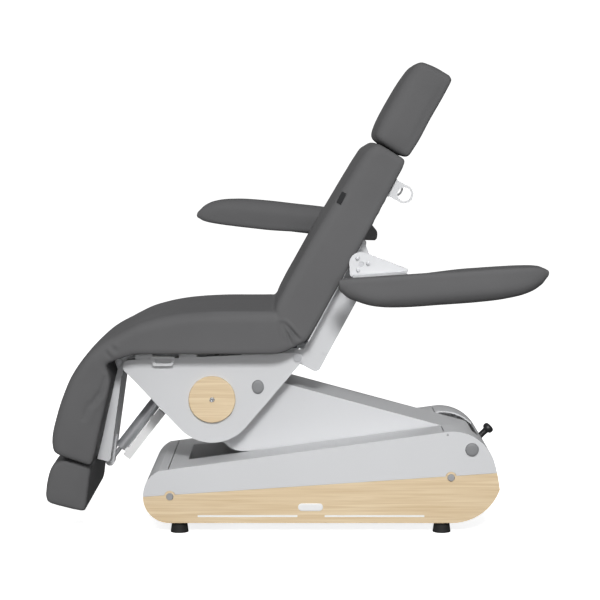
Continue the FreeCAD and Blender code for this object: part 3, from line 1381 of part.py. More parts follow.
def back_plate_corners():
    """Side plate of the back frame, deepest at the hinge end and tapering towards the armrest post."""
    pin = HINGE_PIN_RADIUS + BACK_PLATE_THICK
    return [
        (-pin, -BACK_PLATE_DEPTH, BACK_PLATE_ROUND),
        (BACK_PLATE_FULL_A, -BACK_PLATE_DEPTH, BACK_PLATE_ROUND),
        (BACK_PLATE_TOP_A, -BACK_PLATE_ROUND, BACK_PLATE_ROUND / 2),
        (BACK_PLATE_TOP_A, BACK_REAR, 0),
        (2 * pin, BACK_REAR, 0),
        (pin, pin, BACK_PLATE_ROUND / 2),
        (-pin, pin, BACK_PLATE_ROUND / 2),
    ]


def back_plates():
    """Two side plates of the back frame, each with a flange under the board."""
    outer, inner = -BACK_PLATE_Y, -BACK_PLATE_Y + BACK_PLATE_THICK
    sheet = plate(rounded_wire(back_plate_corners()), outer, inner)
    start = BACK_BOARD_START + BACK_PLATE_ROUND
    flange = box(start, BACK_PLATE_TOP_A, inner, inner + PLATE_RIM, BACK_REAR - BACK_PLATE_THICK, BACK_REAR)
    side = fused([sheet, flange])
    side = side.cut(round_y(0, 0, HINGE_PIN_RADIUS + RUN_FIT, outer - OVERRUN, inner + OVERRUN))
    return on_back(group(both_sides(side)))


def back_crossbars():
    """Round bars between the back plates, the motor's lever pin and the plate screws."""
    inner = BACK_PLATE_Y - BACK_PLATE_THICK
    places = [BACK_PLATE_TOP_A * share for share in BACK_BAR_A_SHARES]
    bars = [round_y(a, BACK_BAR_B, BACK_BAR_RADIUS, -inner, inner) for a in places]
    bars.append(round_y(LEVER_A, LEVER_B, PIN_RADIUS, LEVER_Y - EYE_HALF_THICK, inner))
    face = -BACK_PLATE_Y
    screw = round_y(BACK_SCREW_A, BACK_SCREW_B, BACK_SCREW_RADIUS, face - BACK_SCREW_HEAD, face)
    return on_back(group(bars + both_sides(screw)))


def lever_place():
    return back_point(LEVER_A, LEVER_B)


def back_motor():
    """Back actuator tube, pinned inside the right seat plate."""
    foot, head = back_motor_place(), lever_place()
    length = math.hypot(head[0] - foot[0], head[1] - foot[1]) - BACK_MOUTH_GAP
    return motor_tube(foot, head, BACK_TUBE_RADIUS, BACK_BORE_RADIUS, length, BACK_EYE_RADIUS, LEVER_Y)


def back_rod():
    foot, head = back_motor_place(), lever_place()
    return motor_rod(head, foot, BACK_ROD_RADIUS, BACK_ROD_LENGTH, BACK_EYE_RADIUS, PIN_RADIUS, LEVER_Y)


def head_guides():
    """Tubes let into the top of the back that the head rest's bars slide in."""
    start = BACK_PAD_END - GUIDE_LENGTH
    tubes = head_bars_solid(HEAD_BAR_RADIUS + GUIDE_WALL, start, GUIDE_LENGTH)
    bores = head_bars_solid(HEAD_BAR_RADIUS + RUN_FIT, start - OVERRUN, GUIDE_LENGTH + 2 * OVERRUN)
    return on_back(group([t.cut(b) for t, b in zip(tubes, bores)]))


def head_bars():
    start = HEAD_START + HEAD_BAR_IN_PAD - HEAD_BAR_LENGTH
    return on_back(group(head_bars_solid(HEAD_BAR_RADIUS, start, HEAD_BAR_LENGTH)))


def head_pad():
    """Head cushion, bored for its two bars."""
    end = HEAD_START + HEAD_LENGTH
    top = HEAD_UNDER + HEAD_THICK
    corners = [
        (HEAD_START, HEAD_UNDER, HEAD_ROUND / 2, 0, 1),
        (end, HEAD_UNDER, HEAD_ROUND, 0, 1),
        (end, top, HEAD_ROUND, 1, 1),
        (HEAD_START, top, HEAD_ROUND / 2, 1, 1),
    ]
    body = pad(corners, HEAD_HALF_WIDTH)
    depth = HEAD_BAR_IN_PAD + OVERRUN + RUN_FIT
    for bore in head_bars_solid(HEAD_BAR_RADIUS + RUN_FIT, HEAD_START - OVERRUN, depth):
        body = body.cut(bore)
    return on_back(body)


def paper_roll_brackets():
    """Tabs behind the back with a ring each, which hold the bar of a paper roll."""
    foot = (RING_A, BACK_REAR - RING_RADIUS, RING_RADIUS)
    tab = plate(circle_hull([(RING_A, RING_B, RING_RADIUS), foot]), -RING_Y - RING_THICK, -RING_Y)
    root = box(RING_A - RING_RADIUS, RING_A + RING_RADIUS, -RING_Y - RING_THICK, -RING_Y, foot[1], BACK_REAR)
    tab = fused([tab, root])
    outer = -RING_Y - RING_THICK
    tab = tab.cut(round_y(RING_A, RING_B, RING_HOLE_RADIUS, outer - OVERRUN, -RING_Y + OVERRUN))
    low = BACK_REAR - RING_THICK
    half = RING_FOOT_HALF
    flange = box(RING_A - half, RING_A + half, -RING_Y, -RING_Y + half, low, BACK_REAR)
    return on_back(group(both_sides(fused([tab, flange]))))


def armrest_posts():
    """Posts from the back plates out to the armrest brackets, each ending in a pin."""
    end = -ARMREST_BRACKET_Y + EYE_GAP
    post = round_y(ARMREST_A, ARMREST_B, ARMREST_POST_RADIUS, end, -BACK_PLATE_Y)
    pin_end = -ARMREST_BRACKET_Y - ARMREST_BRACKET_THICK
    pin = round_y(ARMREST_A, ARMREST_B, ARMREST_PIN_RADIUS, pin_end, end)
    return on_back(group(both_sides(fused([post, pin]))))


def place_armrest(shape, side, degrees):
    """An armrest piece drawn on the left, forwards about its own pin, put on one side and turned."""
    if side > 0:
        shape = mirrored(shape)
    shape.rotate(V(0, 0, 0), V(0, 1, 0), degrees)
    pivot = back_point(ARMREST_A, ARMREST_B)
    shape.translate(V(pivot[0], 0, pivot[1]))
    return shape


def armrest_corners():
    return [
        (-ARMREST_TIP, ARMREST_UNDER + ARMREST_BOARD_THICK, ARMREST_ROOT_ROUND, 0, 0),
        (ARMREST_ROOT, ARMREST_UNDER + ARMREST_BOARD_THICK, ARMREST_ROOT_ROUND, 0, 1),
        (ARMREST_ROOT, ARMREST_UNDER + ARMREST_BOARD_THICK + ARMREST_ROOT_RISE, ARMREST_ROOT_ROUND, 0, 1),
        (-ARMREST_TOP_NEAR, ARMREST_TOP, ARMREST_ROUND, 1, 1),
        (-ARMREST_TOP_FAR, ARMREST_TOP, ARMREST_ROUND, 1, 1),
        (-ARMREST_TIP, ARMREST_TOP - ARMREST_TIP_DROP, ARMREST_TIP_ROUND, 0, 1),
    ]


def armrest_pad():
    return pad(armrest_corners(), ARMREST_HALF_WIDTH, ARMREST_ROLL, ARMREST_INSET, PAD_CROWN, -ARMREST_Y)


def armrest_board():
    """Board under the armrest's pad, its upright corners rounded."""
    edge = ARMREST_BOARD_EDGE
    top = ARMREST_UNDER + ARMREST_BOARD_THICK
    near = -ARMREST_Y - ARMREST_HALF_WIDTH + edge
    far = -ARMREST_Y + ARMREST_HALF_WIDTH - ARMREST_INSET
    board = box(-ARMREST_TIP + edge, ARMREST_ROOT - edge, near, far, ARMREST_UNDER, top)
    upright = [e for e in board.Edges if abs(e.BoundBox.ZLength - ARMREST_BOARD_THICK) < RUN_FIT]
    return board.makeFillet(ARMREST_BOARD_EDGE, upright)


def armrest_bracket():
    """Side plate with a round end on the post's pin, and a flange under the armrest's board."""
    outer = -ARMREST_BRACKET_Y - ARMREST_BRACKET_THICK
    inner = -ARMREST_BRACKET_Y
    top = ARMREST_UNDER
    nose = ARMREST_NOSE_RADIUS
    web = circle_hull([
        (0, 0, ARMREST_DISC_RADIUS),
        (ARMREST_DISC_RADIUS - nose, top - nose, nose),
        (-ARMREST_REACH + nose, top - nose, nose),
    ])
    flange = box(
        -ARMREST_REACH + nose, ARMREST_DISC_RADIUS - nose,
        -ARMREST_Y - nose, inner, top - ARMREST_FLANGE_THICK, top,
    )
    trim = box(-ARMREST_TIP, ARMREST_TIP, outer - OVERRUN, inner + OVERRUN, top, ARMREST_TIP)
    body = fused([plate(web, outer, inner).cut(trim), flange])
    body = body.cut(round_y(0, 0, ARMREST_PIN_RADIUS + RUN_FIT, outer - OVERRUN, inner + OVERRUN))
    bolts = []
    for i in range(ARMREST_BOLT_COUNT):
        place = turn((-ARMREST_BOLT_CIRCLE, 0), i * 2 * HALF_TURN / ARMREST_BOLT_COUNT)
        bolts.append(round_y(place[0], place[1], ARMREST_BOLT_RADIUS, outer - ARMREST_PIN_HEAD, outer))
    return fused([body] + bolts)


def nodes():
    """Every piece by its name."""
    made = {
        "base_frame": base_frame(),
        "side_panel_left": side_panel(),
        "side_panel_right": mirrored(side_panel()),
        "side_skin_left": side_skin(),
        "side_skin_right": mirrored(side_skin()),
        "nose_cover": cover_piece(BASE_FRONT_X, NOSE_SEAM_X),
        "deck_cover": deck_cover(),
        "rear_cover": rear_cover(),
        "rubber_feet": rubber_feet(),
        "foot_studs": foot_studs(),
        "panel_standoffs": panel_standoffs(),
        "light_strips": light_strips(),
        "base_pivot_caps": caps(PIVOT_X, PIVOT_Z, CAP_RADIUS, BASE_HALF_WIDTH),
        "base_pins": base_pins(),
        "control_box": control_box(),
        "cord_peg": cord_peg(),
        "mains_inlet": mains_inlet(),
        "lift_motor": lift_motor(),
        "lift_rod": lift_rod(),
        "level_link": level_link(),
        "arm_shell": arm_shell(),
        "arm_bushes": arm_bushes(),
        "seat_plate_left": seat_plate(),
        "seat_plate_right": mirrored(seat_plate()),
        "seat_crossbars": seat_crossbars(),
        "seat_board": seat_board(),
        "hub_shaft": hub_shaft(),
        "level_crank": level_crank(),
        "hub_discs": hub_discs(),
        "hub_screws": hub_screws(),
        "seat_caps": caps(HUB_X + SEAT_CAP_DX, HUB_Z + SEAT_CAP_DZ, SEAT_CAP_RADIUS, SEAT_PLATE_Y),
        "accessory_loops": accessory_loops(),
        "seat_hinge_pins": seat_hinge_pins(),
        "seat_pad": seat_pad(),
        "knee_pad": knee_pad(),
        "leg_frame": leg_frame(),
        "leg_pad": leg_pad(),
        "leg_clevis": leg_clevis(),
        "leg_motor": leg_motor(),
        "leg_trunk": leg_trunk(),
        "leg_rod": leg_rod(),
        "foot_guides": foot_guides(),
        "foot_bars": foot_bars(),
        "foot_pad": foot_pad(),
        "back_frame": group([back_plates(), back_crossbars()]),
        "back_board": back_board(),
        "back_pad": back_pad(),
        "back_motor": back_motor(),
        "back_rod": back_rod(),
        "head_guides": head_guides(),
        "head_bars": head_bars(),
        "head_pad": head_pad(),
        "paper_roll_brackets": paper_roll_brackets(),
        "armrest_posts": armrest_posts(),
    }
    for word, side, degrees in (("left", -1, ARMREST_LEFT_DEG), ("right", 1, ARMREST_RIGHT_DEG)):
        made["armrest_pad_" + word] = place_armrest(armrest_pad(), side, degrees)
        made["armrest_board_" + word] = place_armrest(armrest_board(), side, degrees)
        made["armrest_bracket_" + word] = place_armrest(armrest_bracket(), side, degrees)
    return made


def main():
    os.makedirs("parts", exist_ok=True)
    for name, shape in nodes().items():
        shape.exportStep("parts/" + name + ".step")


main()
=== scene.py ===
import json
import math

import bmesh
import bpy
import numpy as np
from bpy.props import FloatProperty, FloatVectorProperty, PointerProperty
from bpy.types import Operator, Panel, PropertyGroup
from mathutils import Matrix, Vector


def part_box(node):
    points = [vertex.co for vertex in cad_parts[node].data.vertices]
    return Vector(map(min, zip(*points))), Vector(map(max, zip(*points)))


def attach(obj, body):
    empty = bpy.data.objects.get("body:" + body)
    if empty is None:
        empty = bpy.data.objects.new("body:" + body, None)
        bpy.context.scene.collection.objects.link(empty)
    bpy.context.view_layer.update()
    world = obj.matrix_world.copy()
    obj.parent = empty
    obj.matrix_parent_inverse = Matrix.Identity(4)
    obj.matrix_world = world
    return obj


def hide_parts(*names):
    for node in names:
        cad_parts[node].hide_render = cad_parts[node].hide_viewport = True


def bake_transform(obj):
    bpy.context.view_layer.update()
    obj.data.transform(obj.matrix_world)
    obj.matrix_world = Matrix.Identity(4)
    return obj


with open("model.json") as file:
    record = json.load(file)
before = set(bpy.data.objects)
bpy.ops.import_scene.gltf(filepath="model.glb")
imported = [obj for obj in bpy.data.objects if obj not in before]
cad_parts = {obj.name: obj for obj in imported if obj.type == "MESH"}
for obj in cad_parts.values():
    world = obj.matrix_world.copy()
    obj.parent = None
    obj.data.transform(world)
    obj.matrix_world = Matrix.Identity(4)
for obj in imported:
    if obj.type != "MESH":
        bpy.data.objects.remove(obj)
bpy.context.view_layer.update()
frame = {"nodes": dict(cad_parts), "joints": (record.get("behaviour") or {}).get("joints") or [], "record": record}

bl_info = {
    "name": "Treatment Chair",
    "version": (1, 0, 0),
    "blender": (4, 5, 0),
    "location": "3D View > Sidebar > Chair",
    "description": "Upholstery, trim, materials and studio for a powered treatment chair",
    "category": "Add Mesh",
}

NODES = frame["nodes"]
RECORD = frame["record"]
PIVOTS = {j["name"]: np.array(j["pos_m"]) for j in frame["joints"] if "pos_m" in j}
SLOTS = {part["node"]: part["material_slot"] for part in RECORD["subparts"]}
MM = 0.001

# Slopes of leg rest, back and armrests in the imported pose, in degrees
LEG_SLOPE = 75.0
BACK_SLOPE = 61.9
ARMREST_LEFT_TURN = 176.2
ARMREST_RIGHT_TURN = 6.6

# Side view of the long cushion in mm as pairs of a point on its face and one on its underside
# Leg rest laid flat, from its free end up to the knee hinge
LEG_PAIRS = (
    ((-262, 110), (-270, -8)), ((-240, 116), (-244, -8)), ((-175, 120), (-175, -5)), ((-110, 117), (-110, -3)),
    ((-62, 110), (-62, -1)), ((-25, 99), (-34, 3)), ((0, 89), (-16, 11)),
)
# Knee, seat and crease as they stand
SEAT_PAIRS = (
    ((-565, 513), (-520, 480)), ((-542, 533), (-512, 485)), ((-515, 550), (-503, 489)), ((-487, 564), (-488, 494)),
    ((-459, 579), (-468, 501)), ((-428, 594), (-440, 508)), ((-389, 606.5), (-395, 509.5)),
    ((-340, 617.5), (-340, 509.5)), ((-280, 624.5), (-280, 509.5)), ((-200, 628), (-200, 509.5)),
    ((-130, 628), (-120, 509.5)), ((-85, 628), (-60, 510)), ((-60, 628), (-30, 514)),
    ((-47, 625), (-5, 525)), ((-43, 631), (18, 537)),
)
# Back laid flat, from the crease up to its top
BACK_PAIRS = (
    ((96, 120), (58, 6)), ((112, 123), (78, 2)), ((150, 124.5), (110, 0)), ((220, 123.5), (190, -1)),
    ((320, 121.5), (300, -3)), ((420, 117), (410, -4)), ((520, 112.5), (520, -4)), ((574, 109), (580, -4)),
    ((607, 105), (606, -4)), ((622, 98), (617, -2)),
)
# Head rest in the same frame as the back, and foot pad in that of the leg rest
HEAD_PAIRS = (
    ((659, 102), (652, -9)), ((692, 105), (690, -12)), ((760, 105), (760, -12)), ((830, 101), (832, -14)),
    ((875, 95), (877, -14)),
)
FOOT_PAIRS = (
    ((-298, 84), (-295, -5)), ((-307, 96), (-306, -8)), ((-324, 102), (-324, -10)), ((-360, 103), (-355, -14)),
    ((-388, 100), (-385, -18)), ((-403, 98), (-400, -20)), ((-411, 94), (-409, -20)),
)
# Armrest drawn forwards from its pin, its cover wrapped round its board, with the half width at each place
ARMREST_PAIRS = (
    ((60, 66), (60, 35)), ((48, 77), (48, 34)), ((21, 90), (21, 33)), ((-11, 102), (-11, 33)),
    ((-45, 108.5), (-45, 33)), ((-80, 111), (-80, 33)), ((-200, 111.5), (-200, 33)), ((-300, 111), (-300, 33)),
    ((-380, 107), (-380, 33)), ((-431, 99), (-431, 34)), ((-460, 88.5), (-460, 36)), ((-480, 75), (-480, 40)),
    ((-490, 64), (-490, 45)),
)
ARMREST_WIDTHS = (40, 46, 52, 54, 55, 55, 55, 55, 55, 53, 50, 44, 38)
ARMREST_ACROSS = 0.396
ARMREST_BOLT_CIRCLE = 0.019
ARMREST_BOLT_COUNT = 3
ARMREST_BOLT_RADIUS, ARMREST_BOLT_RISE = 0.0056, 0.0014
# How far the cover sags past the bracket's flange, between which distances from the pin it sets in, between which
# places across the armrest, and between which depths over the underside it fades out
SAG = 0.007
SAG_AHEAD = (0.122, 0.290)
SAG_ACROSS = (0.012, 0.030)
SAG_DEPTH = (0.075, 0.036)

# Where the long cushion is parted
BODY_CUT = -0.23

# Folds in mm in the side view: start, end, half width and depth
CREASE_FOLDS = (
    ((-40, 606), (-25, 540), 5.0, 2.2), ((-34, 604), (-1, 534), 4.5, 4.5), ((-29, 604), (20, 549), 4.5, 5.0),
)
LEG_FOLDS = (
    ((-520, 452), (-537, 385), 7.0, 2.6), ((-534, 409), (-562, 360), 8.0, 2.6), ((-563, 382), (-583, 322), 9.0, 2.2),
    ((-523, 523), (-500, 494), 6.0, 2.2), ((-507, 534), (-484, 517), 6.0, 1.6),
)
# Half widths between which the folds set in, how they fade to their ends, and the ridge beside each groove as a share
# of its depth and a place in half widths
FOLD_SIDE = (0.22, 0.268)
FOLD_FADE = 0.6
RIDGE_SHARE, RIDGE_PLACE = 0.55, 1.9

# Small turned pieces in mm as pairs of radius and height
SCREW_PROFILE = (
    (0, 0.8), (2.6, 0.8), (2.9, 2.7), (4.6, 3.0), (6.2, 2.5), (6.9, 1.4), (7.0, -0.3), (0, -0.3),
)
PEG_PROFILE = (
    (0, -6), (9, -5), (9, 4), (9, 14), (9.2, 20), (10.4, 23.6), (13.6, 25.6), (15.7, 29.5), (15.9, 34.5),
    (14.2, 39.4), (9.4, 42.2), (4, 43), (0, 43),
)
PEG_FOOT = (547.0, 0.0, 237.0)
PEG_TILT = 46.0
TAG_PLACE = (133.2, 942.7)
TAG_SIZE = (0.035, 0.0145, 0.0020)
# Bare side plates and skin screws, in metres
PLATE_X, PLATE_Z, PLATE_THICK = 0.049, 0.0757, 0.0016
SKIN_SCREW_X, SKIN_SCREW_Z = 0.4324, 0.2811
SKIN_SCREW_RADIUS, SKIN_SCREW_RISE = 0.0032, 0.0012
# How far the backs of domes and plates are let into the faces that they stand on
DOME_SUNK, PLATE_SUNK = 0.0004, 0.0006
CAP_RISE = 0.006
BASE_CAP_RADIUS, SEAT_CAP_RADIUS = 0.019, 0.018
SEAT_CAP_STRETCH = (0.956, 1.11)

# Most of a pad's thickness that its rolls may take, and the thickness from which it has its whole crown
FACE_ROLL_MOST, UNDER_ROLL_MOST = 0.6, 0.35
CROWN_THICK = 0.05
# The cloth's run, and how often its swelling is evened out
CLOTH_FRAMES = 20
SPREAD_ROUNDS = 24
# Distances from the underside's line between which swelling sets in
SWELL_FROM, SWELL_FULL = 0.004, 0.03


def linear(code):
    """A colour from its sRGB hex code, in linear light."""
    values = [int(code[i:i + 2], 16) / 255 for i in (1, 3, 5)]
    return tuple(v / 12.92 if v <= 0.04045 else ((v + 0.055) / 1.055) ** 2.4 for v in values) + (1.0,)


def turned(points, degrees, pivot):
    """Side-view points in metres turned about +Y, then moved to a pivot."""
    angle = math.radians(degrees)
    x = points[..., 0] * math.cos(angle) + points[..., 1] * math.sin(angle)
    z = points[..., 1] * math.cos(angle) - points[..., 0] * math.sin(angle)
    return np.stack([x + pivot[0], z + pivot[2]], axis=-1)


def smooth_curve(knots, values, at):
    """Cubic Hermite curve through values: each slope is the mean of the chords beside it, by their lengths."""
    span = np.diff(knots)
    chord = np.diff(values, axis=0) / span[:, None]
    weight = (span[:-1] / (span[:-1] + span[1:]))[:, None]
    middle = chord[:-1] * (1 - weight) + chord[1:] * weight
    slope = np.vstack([chord[:1], middle, chord[-1:]])
    k = np.clip(np.searchsorted(knots, at, side="right") - 1, 0, len(span) - 1)
    h = span[k][:, None]
    t = ((at - knots[k]) / span[k])[:, None]
    start = (1 + 2 * t) * (1 - t) ** 2 * values[k] + t * (1 - t) ** 2 * h * slope[k]
    return start + t * t * (3 - 2 * t) * values[k + 1] + t * t * (t - 1) * h * slope[k + 1]


def section_loop(count):
    """Half a rounded section from the middle of the underside to the middle of the face, as shares of the half
    width, the underside's roll and the face's roll across the pad, then of the thickness and both rolls upwards."""
    flat = np.linspace(0, 1, count)
    bend = np.linspace(0, np.pi / 2, count // 3)
    zero, one = np.zeros(count), np.ones(count)
    none, full = np.zeros(len(bend)), np.ones(len(bend))
    across = (
        np.concatenate([flat, full, one, full, flat[::-1]]),
        np.concatenate([-flat, np.sin(bend) - 1, zero, none, zero]),
        np.concatenate([zero, none, zero, np.cos(bend) - 1, -flat[::-1]]),
    )
    upwards = (
        np.concatenate([zero, none, flat, full, one]),
        np.concatenate([zero, 1 - np.cos(bend), 1 - flat, none, zero]),
        np.concatenate([zero, none, -flat, np.sin(bend) - 1, zero]),
    )
    return across, upwards


def rounded_end(outer, inner, width, reach, first):
    """Rows that close one end: they move out by reach sin(a) and shrink by reach (1 - cos(a))."""
    here, near = (0, 1) if first else (-1, -2)
    out = (outer[here] + inner[here] - outer[near] - inner[near]) / 2
    out = out / np.linalg.norm(out)
    up = outer[here] - inner[here]
    up = up / np.linalg.norm(up)
    angle = np.linspace(0, np.pi / 2, 7)[1:, None]
    shrink, shift = reach * (1 - np.cos(angle)), reach * np.sin(angle)
    tops = outer[here] - up * shrink + out * shift
    unders = inner[here] + up * shrink + out * shift
    middle = (tops[-1:] + unders[-1:]) / 2
    inwards = np.array([[0.5], [1.0]])
    tops = np.vstack([tops, tops[-1:] + (middle - tops[-1:]) * inwards])
    unders = np.vstack([unders, unders[-1:] + (middle - unders[-1:]) * inwards])
    widths = width[here] - np.concatenate([shrink[:, 0], [reach, reach]])
    return tops, unders, widths


def slab(name, outer, inner, width, rolls, crown, reach, rows, columns):
    """A pad swept along the side view: S(s, t) = I(s) + e(t) (O(s) - I(s)) / |O(s) - I(s)| + y(t) Y,
    where I and O are its underside and face and (y, e) runs round a crowned, rounded section."""
    steps = np.linalg.norm(np.diff(outer, axis=0), axis=1) + np.linalg.norm(np.diff(inner, axis=0), axis=1)
    knots = np.concatenate([[0], np.cumsum(steps)])
    at = np.linspace(0, knots[-1], rows)
    both = smooth_curve(knots, np.hstack([outer, inner, width[:, None]]), at)
    outer, inner, width = both[:, 0:2], both[:, 2:4], both[:, 4]
    first = rounded_end(outer, inner, width, reach, True)
    last = rounded_end(outer, inner, width, reach, False)
    outer = np.vstack([first[0][::-1], outer, last[0]])
    inner = np.vstack([first[1][::-1], inner, last[1]])
    width = np.concatenate([first[2][::-1], width, last[2]])[:, None]
    thick = np.linalg.norm(outer - inner, axis=1)[:, None]
    up = (outer - inner) / np.maximum(thick, 1e-9)
    face_roll = np.minimum(rolls[0], FACE_ROLL_MOST * thick)
    under_roll = np.minimum(rolls[1], UNDER_ROLL_MOST * thick)
    across, upwards = section_loop(columns)
    y = across[0] * width + across[1] * under_roll + across[2] * face_roll
    swell = crown * np.minimum(1, thick / CROWN_THICK) * (1 - (y / width) ** 2)
    e = upwards[0] * (thick + swell) + upwards[1] * under_roll + upwards[2] * face_roll
    half = np.stack([inner[:, 0:1] + up[:, 0:1] * e, y, inner[:, 1:2] + up[:, 1:2] * e], axis=-1)
    other = half[:, ::-1] * np.array([1, -1, 1])
    return surface(name, np.concatenate([half[:, :-1], other[:, :-1]], axis=1))


def surface(name, *grids):
    """A closed mesh object from grids of points whose columns go round, their seams welded."""
    points, faces, count = [], [], 0
    for grid in grids:
        rows, columns = grid.shape[:2]
        i = count + np.arange(rows - 1)[:, None] * columns
        j = np.arange(columns)[None, :]
        k = (j + 1) % columns
        faces.append(np.stack([i + j, i + k, i + columns + k, i + columns + j], axis=-1).reshape(-1, 4))
        points.append(grid.reshape(-1, 3))
        count += rows * columns
    mesh = bpy.data.meshes.new(name)
    mesh.from_pydata(np.vstack(points).tolist(), [], np.vstack(faces).tolist())
    shape = bmesh.new()
    shape.from_mesh(mesh)
    bmesh.ops.remove_doubles(shape, verts=shape.verts, dist=1e-6)
    bmesh.ops.recalc_face_normals(shape, faces=shape.faces)
    shape.to_mesh(mesh)
    shape.free()
    mesh.polygons.foreach_set("use_smooth", np.ones(len(mesh.polygons), dtype=bool))
    obj = bpy.data.objects.new(name, mesh)
    bpy.context.collection.objects.link(obj)
    return obj


def baked(obj, kind, **settings):
    """The object's mesh with one modifier applied."""
    modifier = obj.modifiers.new(kind.title(), kind)
    for key, value in settings.items():
        setattr(modifier, key, value)
    shown = obj.evaluated_get(bpy.context.evaluated_depsgraph_get())
    mesh = bpy.data.meshes.new_from_object(shown)
    mesh.name = obj.name
    obj.modifiers.clear()
    old, obj.data = obj.data, mesh
    bpy.data.meshes.remove(old)
    mesh.polygons.foreach_set("use_smooth", np.ones(len(mesh.polygons), dtype=bool))


def coordinates(mesh):
    """All points of a mesh as one array."""
    flat = np.empty(len(mesh.vertices) * 3)
    mesh.vertices.foreach_get("co", flat)
    return flat.reshape(-1, 3)


def normals(mesh):
    """All point normals of a mesh as one array."""
    flat = np.empty(len(mesh.vertices) * 3)
    mesh.vertex_normals.foreach_get("vector", flat)
    return flat.reshape(-1, 3)


def put(mesh, points):
    """Writes an array of points back to a mesh."""
    mesh.vertices.foreach_set("co", points.ravel())
    mesh.update()


def smoothstep(low, high, value):
    """0 up to low and 1 from high on, with t^2 (3 - 2 t) between."""
    t = np.clip((value - low) / (high - low), 0, 1)
    return t * t * (3 - 2 * t)


def spread(mesh, values, rounds):
    """Averages each point's value with its neighbours' again and again, so that only broad swelling stays."""
    ends = np.empty(len(mesh.edges) * 2, dtype=np.int32)
    mesh.edges.foreach_get("vertices", ends)
    first, second = ends.reshape(-1, 2).T
    size = len(mesh.vertices)
    count = np.bincount(ends, minlength=size)
    for step in range(rounds):
        near = np.bincount(first, values[second], size) + np.bincount(second, values[first], size)
        values = (values + near / count) / 2
    return values


def plump(obj, sizes, voxel, cap, hold):
    """Swells a tightly stuffed pad: a remesh, pressure in a cloth, the outward part of its shift spread and
    limited, and a subdivision. hold gives each point's share of it, 0 where the pad lies on its board."""
    baked(obj, "REMESH", mode="VOXEL", voxel_size=voxel)
    scene = bpy.context.scene
    rest = coordinates(obj.data)
    cloth = obj.modifiers.new("Cloth", "CLOTH")
    cloth.settings.quality = 3
    cloth.settings.mass = 0.3
    cloth.settings.tension_stiffness = 12
    cloth.settings.compression_stiffness = 12
    cloth.settings.bending_stiffness = 0.4
    cloth.settings.use_pressure = True
    cloth.settings.uniform_pressure_force = sizes.pressure
    cloth.settings.effector_weights.gravity = 0
    cloth.collision_settings.use_collision = False
    cloth.point_cache.frame_start = 1
    cloth.point_cache.frame_end = CLOTH_FRAMES
    for step in range(1, CLOTH_FRAMES + 1):
        scene.frame_set(step)
    shown = obj.evaluated_get(bpy.context.evaluated_depsgraph_get())
    shift = coordinates(shown.data) - rest
    obj.modifiers.clear()
    scene.frame_set(1)
    out = normals(obj.data)
    outwards = spread(obj.data, np.maximum((shift * out).sum(axis=1), 0), SPREAD_ROUNDS)
    put(obj.data, rest + out * (cap * np.tanh(outwards / cap) * hold(rest))[:, None])
    baked(obj, "SUBSURF", levels=1, render_levels=1)


def off_line(line):
    """How much a point may swell by its distance from the underside's line in the side view."""
    def share(points):
        side = points[:, None, ::2] - line[None, ::4]
        return smoothstep(SWELL_FROM, SWELL_FULL, np.sqrt((side ** 2).sum(axis=2).min(axis=1)))
    return share


def folded(mesh, folds, depth_share):
    """Sewn-in folds on the sides: each is a groove exp(-(d/w)^2) about a line, with a low ridge beside it."""
    points, out = coordinates(mesh), normals(mesh)
    total = np.zeros(len(points))
    for start, end, width, depth in folds:
        start, end = np.array(start) * MM, np.array(end) * MM
        along = end - start
        length = np.linalg.norm(along)
        along = along / length
        place = points[:, ::2] - start
        t = place @ along / length
        d = (place @ np.array([-along[1], along[0]])) / (width * MM)
        fade = np.sin(np.pi * np.clip(t, 0, 1)) ** FOLD_FADE
        groove = -np.exp(-d * d) + RIDGE_SHARE * np.exp(-(d - RIDGE_PLACE) ** 2)
        total += fade * groove * depth * MM
    side = smoothstep(*FOLD_SIDE, np.abs(points[:, 1]))
    put(mesh, points + out * (total * side * depth_share)[:, None])


def cut_at(obj, name, x, keep_low):
    """A copy of a pad cut square at x, its cut closed and its rim sharp."""
    shape = bmesh.new()
    shape.from_mesh(obj.data)
    parts = shape.verts[:] + shape.edges[:] + shape.faces[:]
    cut = bmesh.ops.bisect_plane(
        shape, geom=parts, dist=1e-7, plane_co=(x, 0, 0), plane_no=(1, 0, 0),
        clear_outer=keep_low, clear_inner=not keep_low,
    )
    rim = [e for e in cut["geom_cut"] if isinstance(e, bmesh.types.BMEdge)]
    for edge in rim:
        edge.smooth = False
    bmesh.ops.contextual_create(shape, geom=rim)
    bmesh.ops.recalc_face_normals(shape, faces=shape.faces)
    mesh = bpy.data.meshes.new(name)
    shape.to_mesh(mesh)
    shape.free()
    half = bpy.data.objects.new(name, mesh)
    bpy.context.collection.objects.link(half)
    return half


def pairs(values):
    """Pairs in mm as two arrays in metres: face points and underside points."""
    array = np.array(values, dtype=float) * MM
    return array[:, 0], array[:, 1]


def shrunk(outer, inner, amount):
    """The face brought in by an amount, so that swelling brings it back."""
    up = outer - inner
    return outer - up / np.linalg.norm(up, axis=1, keepdims=True) * amount


def pad(name, outer, inner, width, sizes, voxel, reach, rows, columns, rolls=None):
    """A swollen pad from its side view and its half widths."""
    start = sizes.swell_start
    face = shrunk(outer, inner, start)
    rolls = rolls or (sizes.edge_roll, sizes.under_roll)
    obj = slab(name, face, inner, width - start, rolls, sizes.crown, reach, rows, columns)
    knots = np.linspace(0, 1, len(inner))
    line = smooth_curve(knots, inner, np.linspace(0, 1, 400))
    plump(obj, sizes, voxel, sizes.swell, off_line(line))
    return obj


